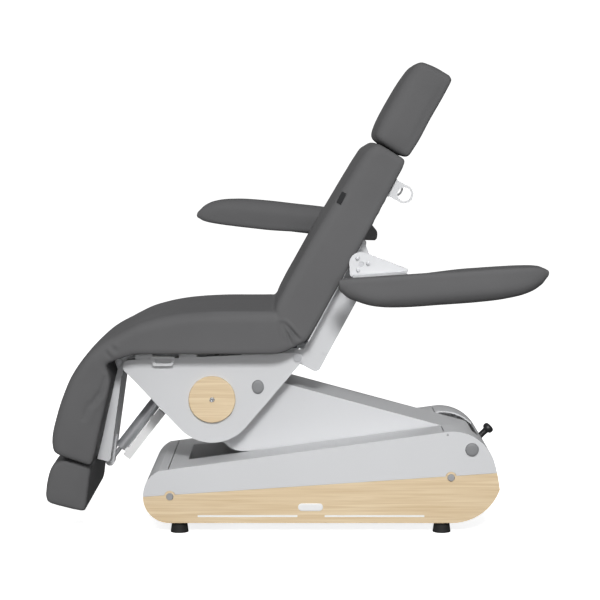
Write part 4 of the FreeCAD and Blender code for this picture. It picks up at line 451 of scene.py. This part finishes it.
def dome(radius, rise):
    """Profile of a flat-backed dome, from the middle of its back: r = R cos(a)^0.4, h = H sin(a)^0.8."""
    angle = np.linspace(0, np.pi / 2, 14)
    rim = np.stack([radius * np.cos(angle) ** 0.4, rise * np.sin(angle) ** 0.8], axis=1)
    rim[-1, 0] = 0
    return np.vstack([[(0, -DOME_SUNK), (radius, -DOME_SUNK)], rim])


def turned_piece(profile, place, axis, stretch=(1.0, 1.0)):
    """Grid of a turned piece: P(u, v) = C + h(u) A + r(u) (p cos(v) E + q sin(v) F) for a profile (r, h)."""
    axis = np.array(axis, dtype=float) / np.linalg.norm(axis)
    first = np.cross((0, 1, 0), axis) if abs(axis[1]) < 0.5 else np.array((1.0, 0, 0))
    second = np.cross(axis, first)
    around = np.linspace(0, 2 * np.pi, 48, endpoint=False)[:, None]
    ring = stretch[0] * np.cos(around) * first + stretch[1] * np.sin(around) * second
    reach, rise = np.array(profile, dtype=float).T
    return np.array(place) + rise[:, None, None] * axis + reach[:, None, None] * ring[None]


def plate_rows(thick):
    """Shares of the outline and heights of a thin plate with a rolled rim: h = T (1 - u^8)^(1/2)."""
    share = np.concatenate([np.linspace(0, 1, 4), np.linspace(1, 0, 16) ** 0.5])
    height = np.concatenate([np.full(4, -PLATE_SUNK), thick * np.sqrt(1 - share[4:] ** 8)])
    return share, height


def pill_plate(length, height, thick, place, side):
    """Grid of a bare plate with round ends, standing on a face that looks along Y:
    x = a clip(6 cos(v), -1, 1) + r u cos(v), z = r u sin(v)."""
    share, rise = plate_rows(thick)
    around = np.linspace(0, 2 * np.pi, 72, endpoint=False)
    radius = height / 2
    x = (length / 2 - radius) * np.clip(6 * np.cos(around), -1, 1) + radius * share[:, None] * np.cos(around)
    z = radius * share[:, None] * np.sin(around)
    y = side * np.broadcast_to(rise[:, None], x.shape)
    return np.stack([x, y, z], axis=-1) + np.array(place)


def square_tag(length, height, thick, place, side, degrees):
    """Grid of a bare tag with rounded corners: a superellipse of power 8 turned in the side view."""
    share, rise = plate_rows(thick)
    around = np.linspace(0, 2 * np.pi, 64, endpoint=False)
    power = np.maximum(np.abs(np.cos(around)) ** 8 + np.abs(np.sin(around)) ** 8, 1e-9) ** (-1 / 8)
    flat = np.stack([length / 2 * power * np.cos(around), height / 2 * power * np.sin(around)], axis=-1)
    flat = turned(share[:, None, None] * flat, degrees, place)
    y = place[1] + side * np.broadcast_to(rise[:, None], flat.shape[:2])
    return np.stack([flat[..., 0], y, flat[..., 1]], axis=-1)


def fit(obj, body, slot, material, *nodes):
    """Gives a rigid piece its body, its finish and the solids that it stands for."""
    obj.data.materials.append(material)
    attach(obj, body)
    if nodes:
        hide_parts(*nodes)


def middle(node):
    """Middle of a node's box in the side view, and its reach to the side."""
    low, high = (np.array(corner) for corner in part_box(node))
    return (low + high) / 2, high[1]


def dress(obj, body, nodes, material):
    """Gives a pad its body, the solids that it stands for and its finish."""
    obj.data.materials.append(material)
    if body:
        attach(obj, body)
    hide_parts(*nodes)


def add(tree, kind, links=None, **settings):
    """Adds a node, sets it, and feeds its sockets from values or from other sockets."""
    node = tree.nodes.new(kind)
    for key, value in settings.items():
        setattr(node, key, value)
    for socket, value in (links or {}).items():
        if isinstance(value, bpy.types.NodeSocket):
            tree.links.new(value, node.inputs[socket])
        else:
            node.inputs[socket].default_value = value
    return node


def material(name, **sockets):
    """A new material with its main shader's sockets set."""
    made = bpy.data.materials.new(name)
    made.use_nodes = True
    shader = made.node_tree.nodes["Principled BSDF"]
    for key, value in sockets.items():
        shader.inputs[key.replace("_", " ")].default_value = value
    return made, made.node_tree, shader


def feed(tree, shader, colour=None, roughness=None, height=None, distance=0.0002, strength=0.5):
    """Joins colour, roughness and bump to a shader."""
    if colour is not None:
        tree.links.new(colour, shader.inputs["Base Color"])
    if roughness is not None:
        tree.links.new(roughness, shader.inputs["Roughness"])
    if height is not None:
        bump = add(tree, "ShaderNodeBump", {"Height": height, "Distance": distance, "Strength": strength})
        tree.links.new(bump.outputs["Normal"], shader.inputs["Normal"])


def faux_leather(colours):
    """Coated upholstery: a fine pebbled grain that breaks up a broad, soft sheen, and slightly uneven grey."""
    made, tree, shader = material("faux_leather", Roughness=0.68, IOR=1.48, Specular_IOR_Level=0.12)
    place = add(tree, "ShaderNodeTexCoord").outputs["Object"]
    # The real grain is about 1 mm; it is drawn at 2.2 mm so that it holds in a picture
    grain = add(tree, "ShaderNodeTexVoronoi", {"Vector": place, "Scale": 1 / 0.0022}, feature="SMOOTH_F1")
    cloud = add(tree, "ShaderNodeTexNoise", {"Vector": place, "Scale": 1 / 0.14, "Detail": 4.0})
    shade = add(tree, "ShaderNodeMix", {
        "Factor": cloud.outputs["Fac"], "A": colours.upholstery_dark, "B": colours.upholstery}, data_type="RGBA")
    pores = add(tree, "ShaderNodeMapRange", {
        "Value": grain.outputs["Distance"], "From Min": 0.0, "From Max": 0.8, "To Min": 0.62, "To Max": 0.76})
    feed(tree, shader, shade.outputs["Result"], pores.outputs["Result"], grain.outputs["Distance"], 0.00025, 0.35)
    return made


def powder_coat(colours):
    """Powder-coated sheet: a satin skin with a faint orange peel and no visible grain."""
    made, tree, shader = material("powder_coat", Roughness=0.42, IOR=1.5)
    place = add(tree, "ShaderNodeTexCoord").outputs["Object"]
    # The peel is about 1.5 mm; it is drawn at 4 mm so that it holds in a picture
    peel = add(tree, "ShaderNodeTexNoise", {"Vector": place, "Scale": 1 / 0.004, "Detail": 2.0})
    drift = add(tree, "ShaderNodeTexNoise", {"Vector": place, "Scale": 1 / 0.3, "Detail": 2.0})
    shade = add(tree, "ShaderNodeMix", {
        "Factor": drift.outputs["Fac"], "A": colours.paint_dark, "B": colours.paint}, data_type="RGBA")
    satin = add(tree, "ShaderNodeMapRange", {
        "Value": peel.outputs["Fac"], "From Min": 0.3, "From Max": 0.7, "To Min": 0.38, "To Max": 0.46})
    feed(tree, shader, shade.outputs["Result"], satin.outputs["Result"], peel.outputs["Fac"], 0.0001, 0.25)
    return made


def birch(colours):
    """Lacquered birch veneer: pale, with long fine figure along the panel and short darker pores."""
    made, tree, shader = material("lacquered_birch", Roughness=0.36, IOR=1.5, Coat_Weight=0.25, Coat_Roughness=0.2)
    place = add(tree, "ShaderNodeTexCoord").outputs["Object"]
    stretch = add(tree, "ShaderNodeMapping", {"Vector": place, "Scale": (1 / 0.26, 1 / 0.05, 1 / 0.0065)})
    figure = add(tree, "ShaderNodeTexNoise", {
        "Vector": stretch.outputs["Vector"], "Scale": 1.0, "Detail": 6.0, "Distortion": 0.5})
    thin = add(tree, "ShaderNodeMapping", {"Vector": place, "Scale": (1 / 0.06, 1 / 0.02, 1 / 0.0016)})
    pores = add(tree, "ShaderNodeTexNoise", {"Vector": thin.outputs["Vector"], "Scale": 1.0, "Detail": 3.0})
    tone = add(tree, "ShaderNodeMapRange", {
        "Value": figure.outputs["Fac"], "From Min": 0.32, "From Max": 0.66})
    shade = add(tree, "ShaderNodeMix", {
        "Factor": tone.outputs["Result"], "A": colours.birch_dark, "B": colours.birch}, data_type="RGBA")
    fleck = add(tree, "ShaderNodeMapRange", {
        "Value": pores.outputs["Fac"], "From Min": 0.6, "From Max": 0.75, "To Min": 0.0, "To Max": 0.35})
    flecked = add(tree, "ShaderNodeMix", {
        "Factor": fleck.outputs["Result"], "A": shade.outputs["Result"], "B": colours.birch_dark}, data_type="RGBA")
    feed(tree, shader, flecked.outputs["Result"], None, pores.outputs["Fac"], 0.00008, 0.2)
    return made


def fibre_board(colours):
    """Raw fibreboard: dry and matt, with a fuzzy speckle of fibres."""
    made, tree, shader = material("raw_fibreboard", Roughness=0.85, IOR=1.45)
    place = add(tree, "ShaderNodeTexCoord").outputs["Object"]
    fibre = add(tree, "ShaderNodeTexNoise", {"Vector": place, "Scale": 1 / 0.003, "Detail": 5.0})
    shade = add(tree, "ShaderNodeMix", {
        "Factor": fibre.outputs["Fac"], "A": colours.board_dark, "B": colours.board}, data_type="RGBA")
    feed(tree, shader, shade.outputs["Result"], None, fibre.outputs["Fac"], 0.0002, 0.4)
    return made


def metal(name, colour, bare, rough_low, rough_high, stretch):
    """Bare or plated metal: fine lines across the turning direction spread its highlight, and plating dulls it."""
    made, tree, shader = material(name, Metallic=bare, Base_Color=colour)
    place = add(tree, "ShaderNodeTexCoord").outputs["Object"]
    lines = add(tree, "ShaderNodeMapping", {"Vector": place, "Scale": tuple(1 / s for s in stretch)})
    scratch = add(tree, "ShaderNodeTexNoise", {"Vector": lines.outputs["Vector"], "Scale": 1.0, "Detail": 3.0})
    rough = add(tree, "ShaderNodeMapRange", {
        "Value": scratch.outputs["Fac"], "From Min": 0.3, "From Max": 0.7,
        "To Min": rough_low, "To Max": rough_high})
    feed(tree, shader, None, rough.outputs["Result"], scratch.outputs["Fac"], 0.00004, 0.25)
    return made


def moulded(name, dark, light, roughness, grain, ior=1.5):
    """Moulded plastic or rubber: a spark-eroded grain that dulls the surface evenly."""
    made, tree, shader = material(name, Roughness=roughness, IOR=ior)
    place = add(tree, "ShaderNodeTexCoord").outputs["Object"]
    texture = add(tree, "ShaderNodeTexNoise", {"Vector": place, "Scale": 1 / grain, "Detail": 3.0})
    shade = add(tree, "ShaderNodeMix", {
        "Factor": texture.outputs["Fac"], "A": dark, "B": light}, data_type="RGBA")
    rough = add(tree, "ShaderNodeMapRange", {
        "Value": texture.outputs["Fac"], "From Min": 0.3, "From Max": 0.7,
        "To Min": roughness - 0.05, "To Max": roughness + 0.05})
    feed(tree, shader, shade.outputs["Result"], rough.outputs["Result"], texture.outputs["Fac"], 0.0001, 0.3)
    return made


def finishes(colours):
    """One material for each of the record's slots."""
    found = bpy.data.materials.get("faux_leather")
    if found:
        return {slot: bpy.data.materials[name] for slot, name in FINISH_NAMES.items()}
    return {
        "upholstery": faux_leather(colours),
        "light_paint": powder_coat(colours),
        "birch": birch(colours),
        "board": fibre_board(colours),
        "steel": metal("brushed_steel", linear("#B2B3B6"), 0.65, 0.36, 0.5, (0.03, 0.0012, 0.0012)),
        "bright_tube": metal("chromed_tube", linear("#D0D1D4"), 0.8, 0.3, 0.4, (0.002, 0.04, 0.002)),
        "grey_cap": moulded("grey_nylon", linear("#7D7E80"), linear("#8E8F91"), 0.5, 0.0015),
        "white_plastic": moulded("white_polymer", linear("#EAEAEA"), linear("#F2F2F2"), 0.4, 0.002),
        "rubber": moulded("black_rubber", linear("#141414"), linear("#1E1E1E"), 0.75, 0.002),
        "black_plastic": moulded("black_nylon", linear("#1A1B1C"), linear("#26272A"), 0.45, 0.0015),
        "diffuser": moulded("frosted_diffuser", linear("#F2F2EE"), linear("#FAFAF8"), 0.35, 0.004),
        "bronze": metal("sintered_bronze", linear("#B48A4E"), 1.0, 0.35, 0.5, (0.002, 0.002, 0.002)),
    }


FINISH_NAMES = {
    "upholstery": "faux_leather", "light_paint": "powder_coat", "birch": "lacquered_birch",
    "board": "raw_fibreboard", "steel": "brushed_steel", "bright_tube": "chromed_tube",
    "grey_cap": "grey_nylon", "white_plastic": "white_polymer", "rubber": "black_rubber",
    "black_plastic": "black_nylon", "diffuser": "frosted_diffuser", "bronze": "sintered_bronze",
}


class ChairSizes(PropertyGroup):
    """Sizes of the upholstery and trim."""

    body_half_width: FloatProperty(
        name="Half width", description="Half the width of seat, back and leg rest", default=0.280, unit="LENGTH")
    head_half_width: FloatProperty(
        name="Head half width", description="Half the width of the head rest", default=0.200, unit="LENGTH")
    foot_half_width: FloatProperty(
        name="Foot half width", description="Half the width of the foot pad", default=0.250, unit="LENGTH")
    edge_roll: FloatProperty(
        name="Edge roll", description="Radius of the edges round a pad's face", default=0.026, unit="LENGTH")
    under_roll: FloatProperty(
        name="Under roll", description="Radius of the edges round a pad's underside", default=0.009, unit="LENGTH")
    crown: FloatProperty(
        name="Crown", description="Rise of a pad's face at its middle", default=0.003, unit="LENGTH")
    swell_start: FloatProperty(
        name="Start under", description="How much smaller a pad is before it swells", default=0.002, unit="LENGTH")
    swell: FloatProperty(
        name="Swell", description="Most that a point of a pad may move", default=0.004, unit="LENGTH")
    pressure: FloatProperty(
        name="Pressure", description="Pressure inside a pad while it swells", default=4.0)
    fold_depth: FloatProperty(
        name="Fold depth", description="Share of the drawn depth that the folds get", default=1.5, subtype="FACTOR")
    badge_length: FloatProperty(
        name="Plate length", description="Length of the bare plate on each wooden side", default=0.070, unit="LENGTH")
    badge_height: FloatProperty(
        name="Plate height", description="Height of the bare plate", default=0.022, unit="LENGTH")


class ChairColours(PropertyGroup):
    """Colours of the finishes in linear light."""

    upholstery: FloatVectorProperty(
        name="Upholstery", description="Faux leather", size=4, subtype="COLOR", default=linear("#676768"))
    upholstery_dark: FloatVectorProperty(
        name="Upholstery, dark", description="Darker patches of the faux leather", size=4, subtype="COLOR",
        default=linear("#606061"))
    paint: FloatVectorProperty(
        name="Paint", description="Powder coat", size=4, subtype="COLOR", default=linear("#D6D7D9"))
    paint_dark: FloatVectorProperty(
        name="Paint, dark", description="Darker drift of the powder coat", size=4, subtype="COLOR",
        default=linear("#D0D1D3"))
    birch: FloatVectorProperty(
        name="Birch", description="Pale wood", size=4, subtype="COLOR", default=linear("#EAD5B3"))
    birch_dark: FloatVectorProperty(
        name="Birch figure", description="Darker figure of the wood", size=4, subtype="COLOR",
        default=linear("#D8BE97"))
    board: FloatVectorProperty(
        name="Board", description="Raw board", size=4, subtype="COLOR", default=linear("#D5C6A8"))
    board_dark: FloatVectorProperty(
        name="Board, dark", description="Darker fibres of the board", size=4, subtype="COLOR",
        default=linear("#BFAE8C"))


class ChairStudio(PropertyGroup):
    """Camera and lights."""

    lens: FloatProperty(name="Lens", description="Focal length in mm", default=109.68)
    distance: FloatProperty(
        name="Distance", description="Camera distance from the middle plane", default=5.3, unit="LENGTH")
    height: FloatProperty(name="Height", description="Camera height", default=1.1287, unit="LENGTH")
    shift: FloatProperty(name="Sideways", description="Camera place along X", default=0.0195, unit="LENGTH")
    pitch: FloatProperty(
        name="Pitch", description="How far the camera looks down", default=math.radians(5.31), subtype="ANGLE")
    key_power: FloatProperty(name="Key", description="Power of the front light in watts", default=35.0)
    fill_power: FloatProperty(name="Fill", description="Power of the low front light in watts", default=5.5)
    back_power: FloatProperty(name="Back", description="Power of the light behind in watts", default=24.0)
    key_size: FloatProperty(name="Light size", description="Width of each light", default=1.5, unit="LENGTH")
    key_spread: FloatProperty(
        name="Light spread", description="Cone of each light", default=math.radians(45), subtype="ANGLE")
    overhead: FloatProperty(name="Overhead", description="Strength of the room's light from above", default=0.3)
    around: FloatProperty(name="Around", description="Strength of the room's light from the sides", default=0.17)
    below: FloatProperty(name="Below", description="Strength of the room's light from below", default=0.1)
    foot_side: FloatProperty(name="Foot side", description="Extra light from beyond the foot end", default=0.35)


class CHAIR_OT_finishes(Operator):
    """Give every solid of the frame its finish"""

    bl_idname = "chair.finishes"
    bl_label = "Finishes"

    def execute(self, context):
        made = finishes(context.scene.chair_colours)
        for name, obj in NODES.items():
            obj.data.materials.clear()
            obj.data.materials.append(made[SLOTS[name]])
        return {"FINISHED"}


class CHAIR_OT_body(Operator):
    """Upholster leg rest, knee, seat and back as one cushion in two pieces"""

    bl_idname = "chair.body"
    bl_label = "Seat, back and leg rest"

    def execute(self, context):
        sizes = context.scene.chair_sizes
        leather = finishes(context.scene.chair_colours)["upholstery"]
        knee, hinge = PIVOTS["leg_raise"], PIVOTS["back_recline"]
        leg = [turned(side, -LEG_SLOPE, knee) for side in pairs(LEG_PAIRS)]
        back = [turned(side, -BACK_SLOPE, hinge) for side in pairs(BACK_PAIRS)]
        outer, inner = (np.vstack(parts) for parts in zip(leg, pairs(SEAT_PAIRS), back))
        width = np.full(len(outer), sizes.body_half_width)
        whole = pad("body", outer, inner, width, sizes, voxel=0.0065, reach=0.013, rows=300, columns=30)
        folded(whole.data, CREASE_FOLDS + LEG_FOLDS, sizes.fold_depth)
        front = cut_at(whole, "leg_and_knee_cushion", BODY_CUT, True)
        rear = cut_at(whole, "seat_and_back_cushion", BODY_CUT, False)
        bpy.data.objects.remove(whole)
        dress(front, None, ("leg_pad", "knee_pad"), leather)
        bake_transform(front)
        dress(rear, None, ("seat_pad", "back_pad"), leather)
        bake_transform(rear)
        return {"FINISHED"}


class CHAIR_OT_end_pads(Operator):
    """Upholster the head rest and the foot pad"""

    bl_idname = "chair.end_pads"
    bl_label = "Head and foot pads"

    def execute(self, context):
        sizes = context.scene.chair_sizes
        leather = finishes(context.scene.chair_colours)["upholstery"]
        outer, inner = (turned(side, -BACK_SLOPE, PIVOTS["back_recline"]) for side in pairs(HEAD_PAIRS))
        width = np.full(len(outer), sizes.head_half_width)
        head = pad("head_cushion", outer, inner, width, sizes, voxel=0.005, reach=0.018, rows=60, columns=24)
        dress(head, "head", ("head_pad",), leather)
        outer, inner = (turned(side, -LEG_SLOPE, PIVOTS["leg_raise"]) for side in pairs(FOOT_PAIRS))
        width = np.full(len(outer), sizes.foot_half_width)
        foot = pad(
            "foot_cushion", outer, inner, width, sizes, voxel=0.005, reach=0.009, rows=60, columns=24,
            rolls=(0.012, 0.010))
        dress(foot, "foot", ("foot_pad",), leather)
        return {"FINISHED"}


class CHAIR_OT_armrests(Operator):
    """Upholster the two armrests and set their bolts"""

    bl_idname = "chair.armrests"
    bl_label = "Armrests"

    def execute(self, context):
        sizes = context.scene.chair_sizes
        made = finishes(context.scene.chair_colours)
        leather = made["upholstery"]
        width = np.array(ARMREST_WIDTHS) * MM
        around = np.linspace(0, 2 * np.pi, ARMREST_BOLT_COUNT, endpoint=False)
        ring = -ARMREST_BOLT_CIRCLE * np.stack([np.cos(around), np.sin(around)], axis=-1)
        for word, side, degrees in (("left", -1, ARMREST_LEFT_TURN), ("right", 1, ARMREST_RIGHT_TURN)):
            pivot = PIVOTS["armrest_%s_turn" % word]
            outer, inner = (turned(line, degrees, pivot) for line in pairs(ARMREST_PAIRS))
            arm = pad(
                "armrest_cushion_" + word, outer, inner, width, sizes, voxel=0.0045, reach=0.008, rows=120,
                columns=18, rolls=(0.028, 0.012))
            points = self.lipped(coordinates(arm.data), side, degrees, pivot)
            points[:, 1] += side * ARMREST_ACROSS
            put(arm.data, points)
            dress(arm, "armrest_" + word, ("armrest_pad_" + word, "armrest_board_" + word), leather)
            head = dome(ARMREST_BOLT_RADIUS, ARMREST_BOLT_RISE)
            heads = [
                turned_piece(head, (x, self.bolt_face(word, side, x, z), z), (0, side, 0))
                for x, z in turned(ring, degrees, pivot)]
            fit(surface("armrest_bolts_" + word, *heads), "armrest_" + word, "steel", made["steel"])
        return {"FINISHED"}

    def bolt_face(self, word, side, x, z):
        """Where a ray from outside meets the bracket's face."""
        hit, place = NODES["armrest_bracket_" + word].ray_cast((x, side, z), (0, -side, 0))[:2]
        if not hit:
            raise RuntimeError("an armrest bolt misses its bracket")
        return place[1]

    def lipped(self, points, side, degrees, pivot):
        """Lets the cover sag by 7 mm under the board, fading out above the underside: beyond the bracket's
        flange, which reaches 127 mm from the pin, and beside the flange in the outer half."""
        angle = math.radians(degrees)
        down = np.array([-math.sin(angle), 0, -math.cos(angle)])
        ahead = np.array([-math.cos(angle), 0, math.sin(angle)])
        place = points - np.array([pivot[0], 0, pivot[2]])
        outwards = smoothstep(*SAG_ACROSS, side * points[:, 1])
        beyond = smoothstep(*SAG_AHEAD, place @ ahead)
        drop = SAG * np.maximum(outwards, beyond) * smoothstep(*SAG_DEPTH, -(place @ down))
        return points + drop[:, None] * down


class CHAIR_OT_trim(Operator):
    """Add caps, peg, screws, bare plates and the bare tag"""

    bl_idname = "chair.trim"
    bl_label = "Trim"

    def execute(self, context):
        sizes = context.scene.chair_sizes
        made = finishes(context.scene.chair_colours)
        place, reach = middle("base_pivot_caps")
        self.caps("pivot_cap_domes", "base", "base_pivot_caps", made, place, reach, BASE_CAP_RADIUS, (1.0, 1.0))
        place, reach = middle("seat_caps")
        self.caps("seat_cap_domes", "seat", "seat_caps", made, place, reach, SEAT_CAP_RADIUS, SEAT_CAP_STRETCH)
        place, reach = middle("hub_screws")
        screw = np.array(SCREW_PROFILE) * MM
        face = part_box("hub_discs")[1][1]
        heads = [turned_piece(screw, (place[0], s * face, place[2]), (0, s, 0)) for s in (-1, 1)]
        fit(surface("hub_screw_heads", *heads), "seat", "steel", made["steel"], "hub_screws")
        tilt = math.radians(PEG_TILT)
        axis = (math.sin(tilt), 0, math.cos(tilt))
        peg = smooth_curve(np.linspace(0, 1, len(PEG_PROFILE)), np.array(PEG_PROFILE) * MM, np.linspace(0, 1, 60))
        peg[:, 0] = np.maximum(peg[:, 0], 0)
        fit(surface("peg_mushroom", turned_piece(peg, np.array(PEG_FOOT) * MM, axis)),
            "base", "black_plastic", made["black_plastic"], "cord_peg")
        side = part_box("side_panel_right")[1][1]
        plates = [
            pill_plate(sizes.badge_length, sizes.badge_height, PLATE_THICK, (PLATE_X, s * side, PLATE_Z), s)
            for s in (-1, 1)]
        fit(surface("bare_side_plates", *plates), "base", "white_plastic", made["white_plastic"])
        small = dome(SKIN_SCREW_RADIUS, SKIN_SCREW_RISE)
        screws = [turned_piece(small, (SKIN_SCREW_X, s * side, SKIN_SCREW_Z), (0, s, 0)) for s in (-1, 1)]
        fit(surface("skin_screws", *screws), "base", "steel", made["steel"])
        self.tag(made["black_plastic"])
        return {"FINISHED"}

    def caps(self, name, body, node, made, place, reach, radius, stretch):
        """A dome on each side, standing on the face that the node's solid stands on."""
        face = reach - CAP_RISE
        cap = dome(radius, CAP_RISE)
        domes = [turned_piece(cap, (place[0], s * face, place[2]), (0, s, 0), stretch) for s in (-1, 1)]
        fit(surface(name, *domes), body, "grey_cap", made["grey_cap"], node)

    def tag(self, finish):
        """A bare tag on the left side of the back, laid on the finished cushion where a ray meets it and sheared
        along Y into the plane that touches the cushion there."""
        x, z = (v * MM for v in TAG_PLACE)
        cushion = bpy.data.objects["seat_and_back_cushion"]
        bpy.context.view_layer.update()
        hit, place, facing = cushion.ray_cast((x, -1, z), (0, 1, 0))[:3]
        if not hit:
            raise RuntimeError("the tag's place misses the back cushion")
        grid = square_tag(*TAG_SIZE, (x, place[1], z), -1, -BACK_SLOPE)
        grid[..., 1] -= (facing[0] * (grid[..., 0] - x) + facing[2] * (grid[..., 2] - z)) / facing[1]
        fit(surface("bare_tag", grid), "back", "black_plastic", finish)


class CHAIR_OT_studio(Operator):
    """Set floor, lights and camera"""

    bl_idname = "chair.studio"
    bl_label = "Studio"

    def execute(self, context):
        studio = context.scene.chair_studio
        scene = context.scene
        scene.view_settings.view_transform = "Standard"
        self.floor()
        self.world(scene, studio)
        self.light("key", place=(0.5, -8.0, 4.9), aim=(0.1, 0, 0.3), power=studio.key_power, studio=studio)
        self.light("fill", place=(0.9, -8.0, 1.5), aim=(0.1, 0, 0.5), power=studio.fill_power, studio=studio)
        # The light behind is for the far side's views, and its shine would grey the cushions' faces in the others
        behind = self.light("back", place=(-0.8, 8.0, 1.9), aim=(0, 0, 0.6), power=studio.back_power, studio=studio)
        behind.visible_glossy = False
        lens = bpy.data.cameras.new("camera")
        lens.lens = studio.lens
        lens.sensor_width = 36
        camera = bpy.data.objects.new("camera", lens)
        camera.location = (studio.shift, -studio.distance, studio.height)
        camera.rotation_euler = (math.pi / 2 - studio.pitch, 0, 0)
        context.collection.objects.link(camera)
        scene.camera = camera
        return {"FINISHED"}

    def floor(self):
        """A flat plane z = 0 under everything."""
        reach = 30.0
        mesh = bpy.data.meshes.new("floor")
        corners = np.array([(-1, -1, 0), (1, -1, 0), (1, 1, 0), (-1, 1, 0)]) * reach
        mesh.from_pydata(corners.tolist(), [], [(0, 1, 2, 3)])
        made, tree, shader = material(
            "pale_floor", Roughness=0.9, Base_Color=linear("#F4F4F4"), Emission_Color=linear("#FFFFFF"),
            Emission_Strength=0.8)
        mesh.materials.append(made)
        obj = bpy.data.objects.new("floor", mesh)
        # The floor neither lights the chair from below nor mirrors in it, as in a shot whose ground is cut out
        obj.visible_diffuse = False
        obj.visible_glossy = False
        bpy.context.collection.objects.link(obj)

    def world(self, scene, studio):
        """A white room, brighter to the eye than in the light it gives, which is more from above and from
        beyond the foot end."""
        world = bpy.data.worlds.new("studio")
        world.use_nodes = True
        tree = world.node_tree
        background = tree.nodes["Background"]
        background.inputs["Color"].default_value = linear("#FFFFFF")
        way = add(tree, "ShaderNodeTexCoord").outputs["Generated"]
        ways = add(tree, "ShaderNodeSeparateXYZ", {"Vector": way})
        height = ways.outputs["Z"]
        lower = add(tree, "ShaderNodeMapRange", {
            "Value": height, "From Min": -1.0, "From Max": 0.0, "To Min": studio.below, "To Max": studio.around})
        upper = add(tree, "ShaderNodeMapRange", {
            "Value": height, "To Min": 0.0, "To Max": studio.overhead - studio.around})
        front = add(tree, "ShaderNodeMapRange", {
            "Value": ways.outputs["X"], "From Min": -1.0, "From Max": 0.0, "To Min": studio.foot_side, "To Max": 0.0})
        given = lower.outputs["Result"]
        for more in (upper, front):
            total = add(tree, "ShaderNodeMath", {0: given, 1: more.outputs["Result"]}, operation="ADD")
            given = total.outputs["Value"]
        ray = add(tree, "ShaderNodeLightPath")
        seen = 1.1
        strength = add(tree, "ShaderNodeMix", {
            "Factor": ray.outputs["Is Camera Ray"], "A": given, "B": seen})
        tree.links.new(strength.outputs["Result"], background.inputs["Strength"])
        scene.world = world

    def light(self, name, place, aim, power, studio):
        """A square light that looks from one place to another."""
        lamp = bpy.data.lights.new(name, "AREA")
        lamp.size = studio.key_size
        lamp.spread = studio.key_spread
        lamp.energy = power
        obj = bpy.data.objects.new(name, lamp)
        obj.location = place
        way = np.array(aim) - np.array(place)
        flat = math.hypot(way[0], way[1])
        obj.rotation_euler = (math.atan2(flat, -way[2]), 0, math.atan2(way[1], way[0]) - math.pi / 2)
        bpy.context.collection.objects.link(obj)
        return obj


class CHAIR_PT_panel(Panel):
    """Lists the steps and the sizes and colours that they use"""

    bl_label = "Treatment Chair"
    bl_idname = "CHAIR_PT_panel"
    bl_space_type = "VIEW_3D"
    bl_region_type = "UI"
    bl_category = "Chair"

    def draw(self, context):
        scene = context.scene
        for step in STEPS:
            self.layout.operator(step.bl_idname)
        for group in (scene.chair_sizes, scene.chair_colours, scene.chair_studio):
            box = self.layout.box()
            for name in group.__annotations__:
                box.prop(group, name)


STEPS = (
    CHAIR_OT_finishes, CHAIR_OT_body, CHAIR_OT_end_pads, CHAIR_OT_armrests, CHAIR_OT_trim, CHAIR_OT_studio,
)
GROUPS = {"chair_sizes": ChairSizes, "chair_colours": ChairColours, "chair_studio": ChairStudio}


def register():
    for kind in (*GROUPS.values(), *STEPS, CHAIR_PT_panel):
        bpy.utils.register_class(kind)
    for name, kind in GROUPS.items():
        setattr(bpy.types.Scene, name, PointerProperty(type=kind))


def unregister():
    for name in GROUPS:
        delattr(bpy.types.Scene, name)
    for kind in reversed((*GROUPS.values(), *STEPS, CHAIR_PT_panel)):
        bpy.utils.unregister_class(kind)


def main():
    register()
    bpy.ops.chair.finishes()
    bpy.ops.chair.body()
    bpy.ops.chair.end_pads()
    bpy.ops.chair.armrests()
    bpy.ops.chair.trim()
    bpy.ops.chair.studio()


if __name__ == "__main__":
    main()
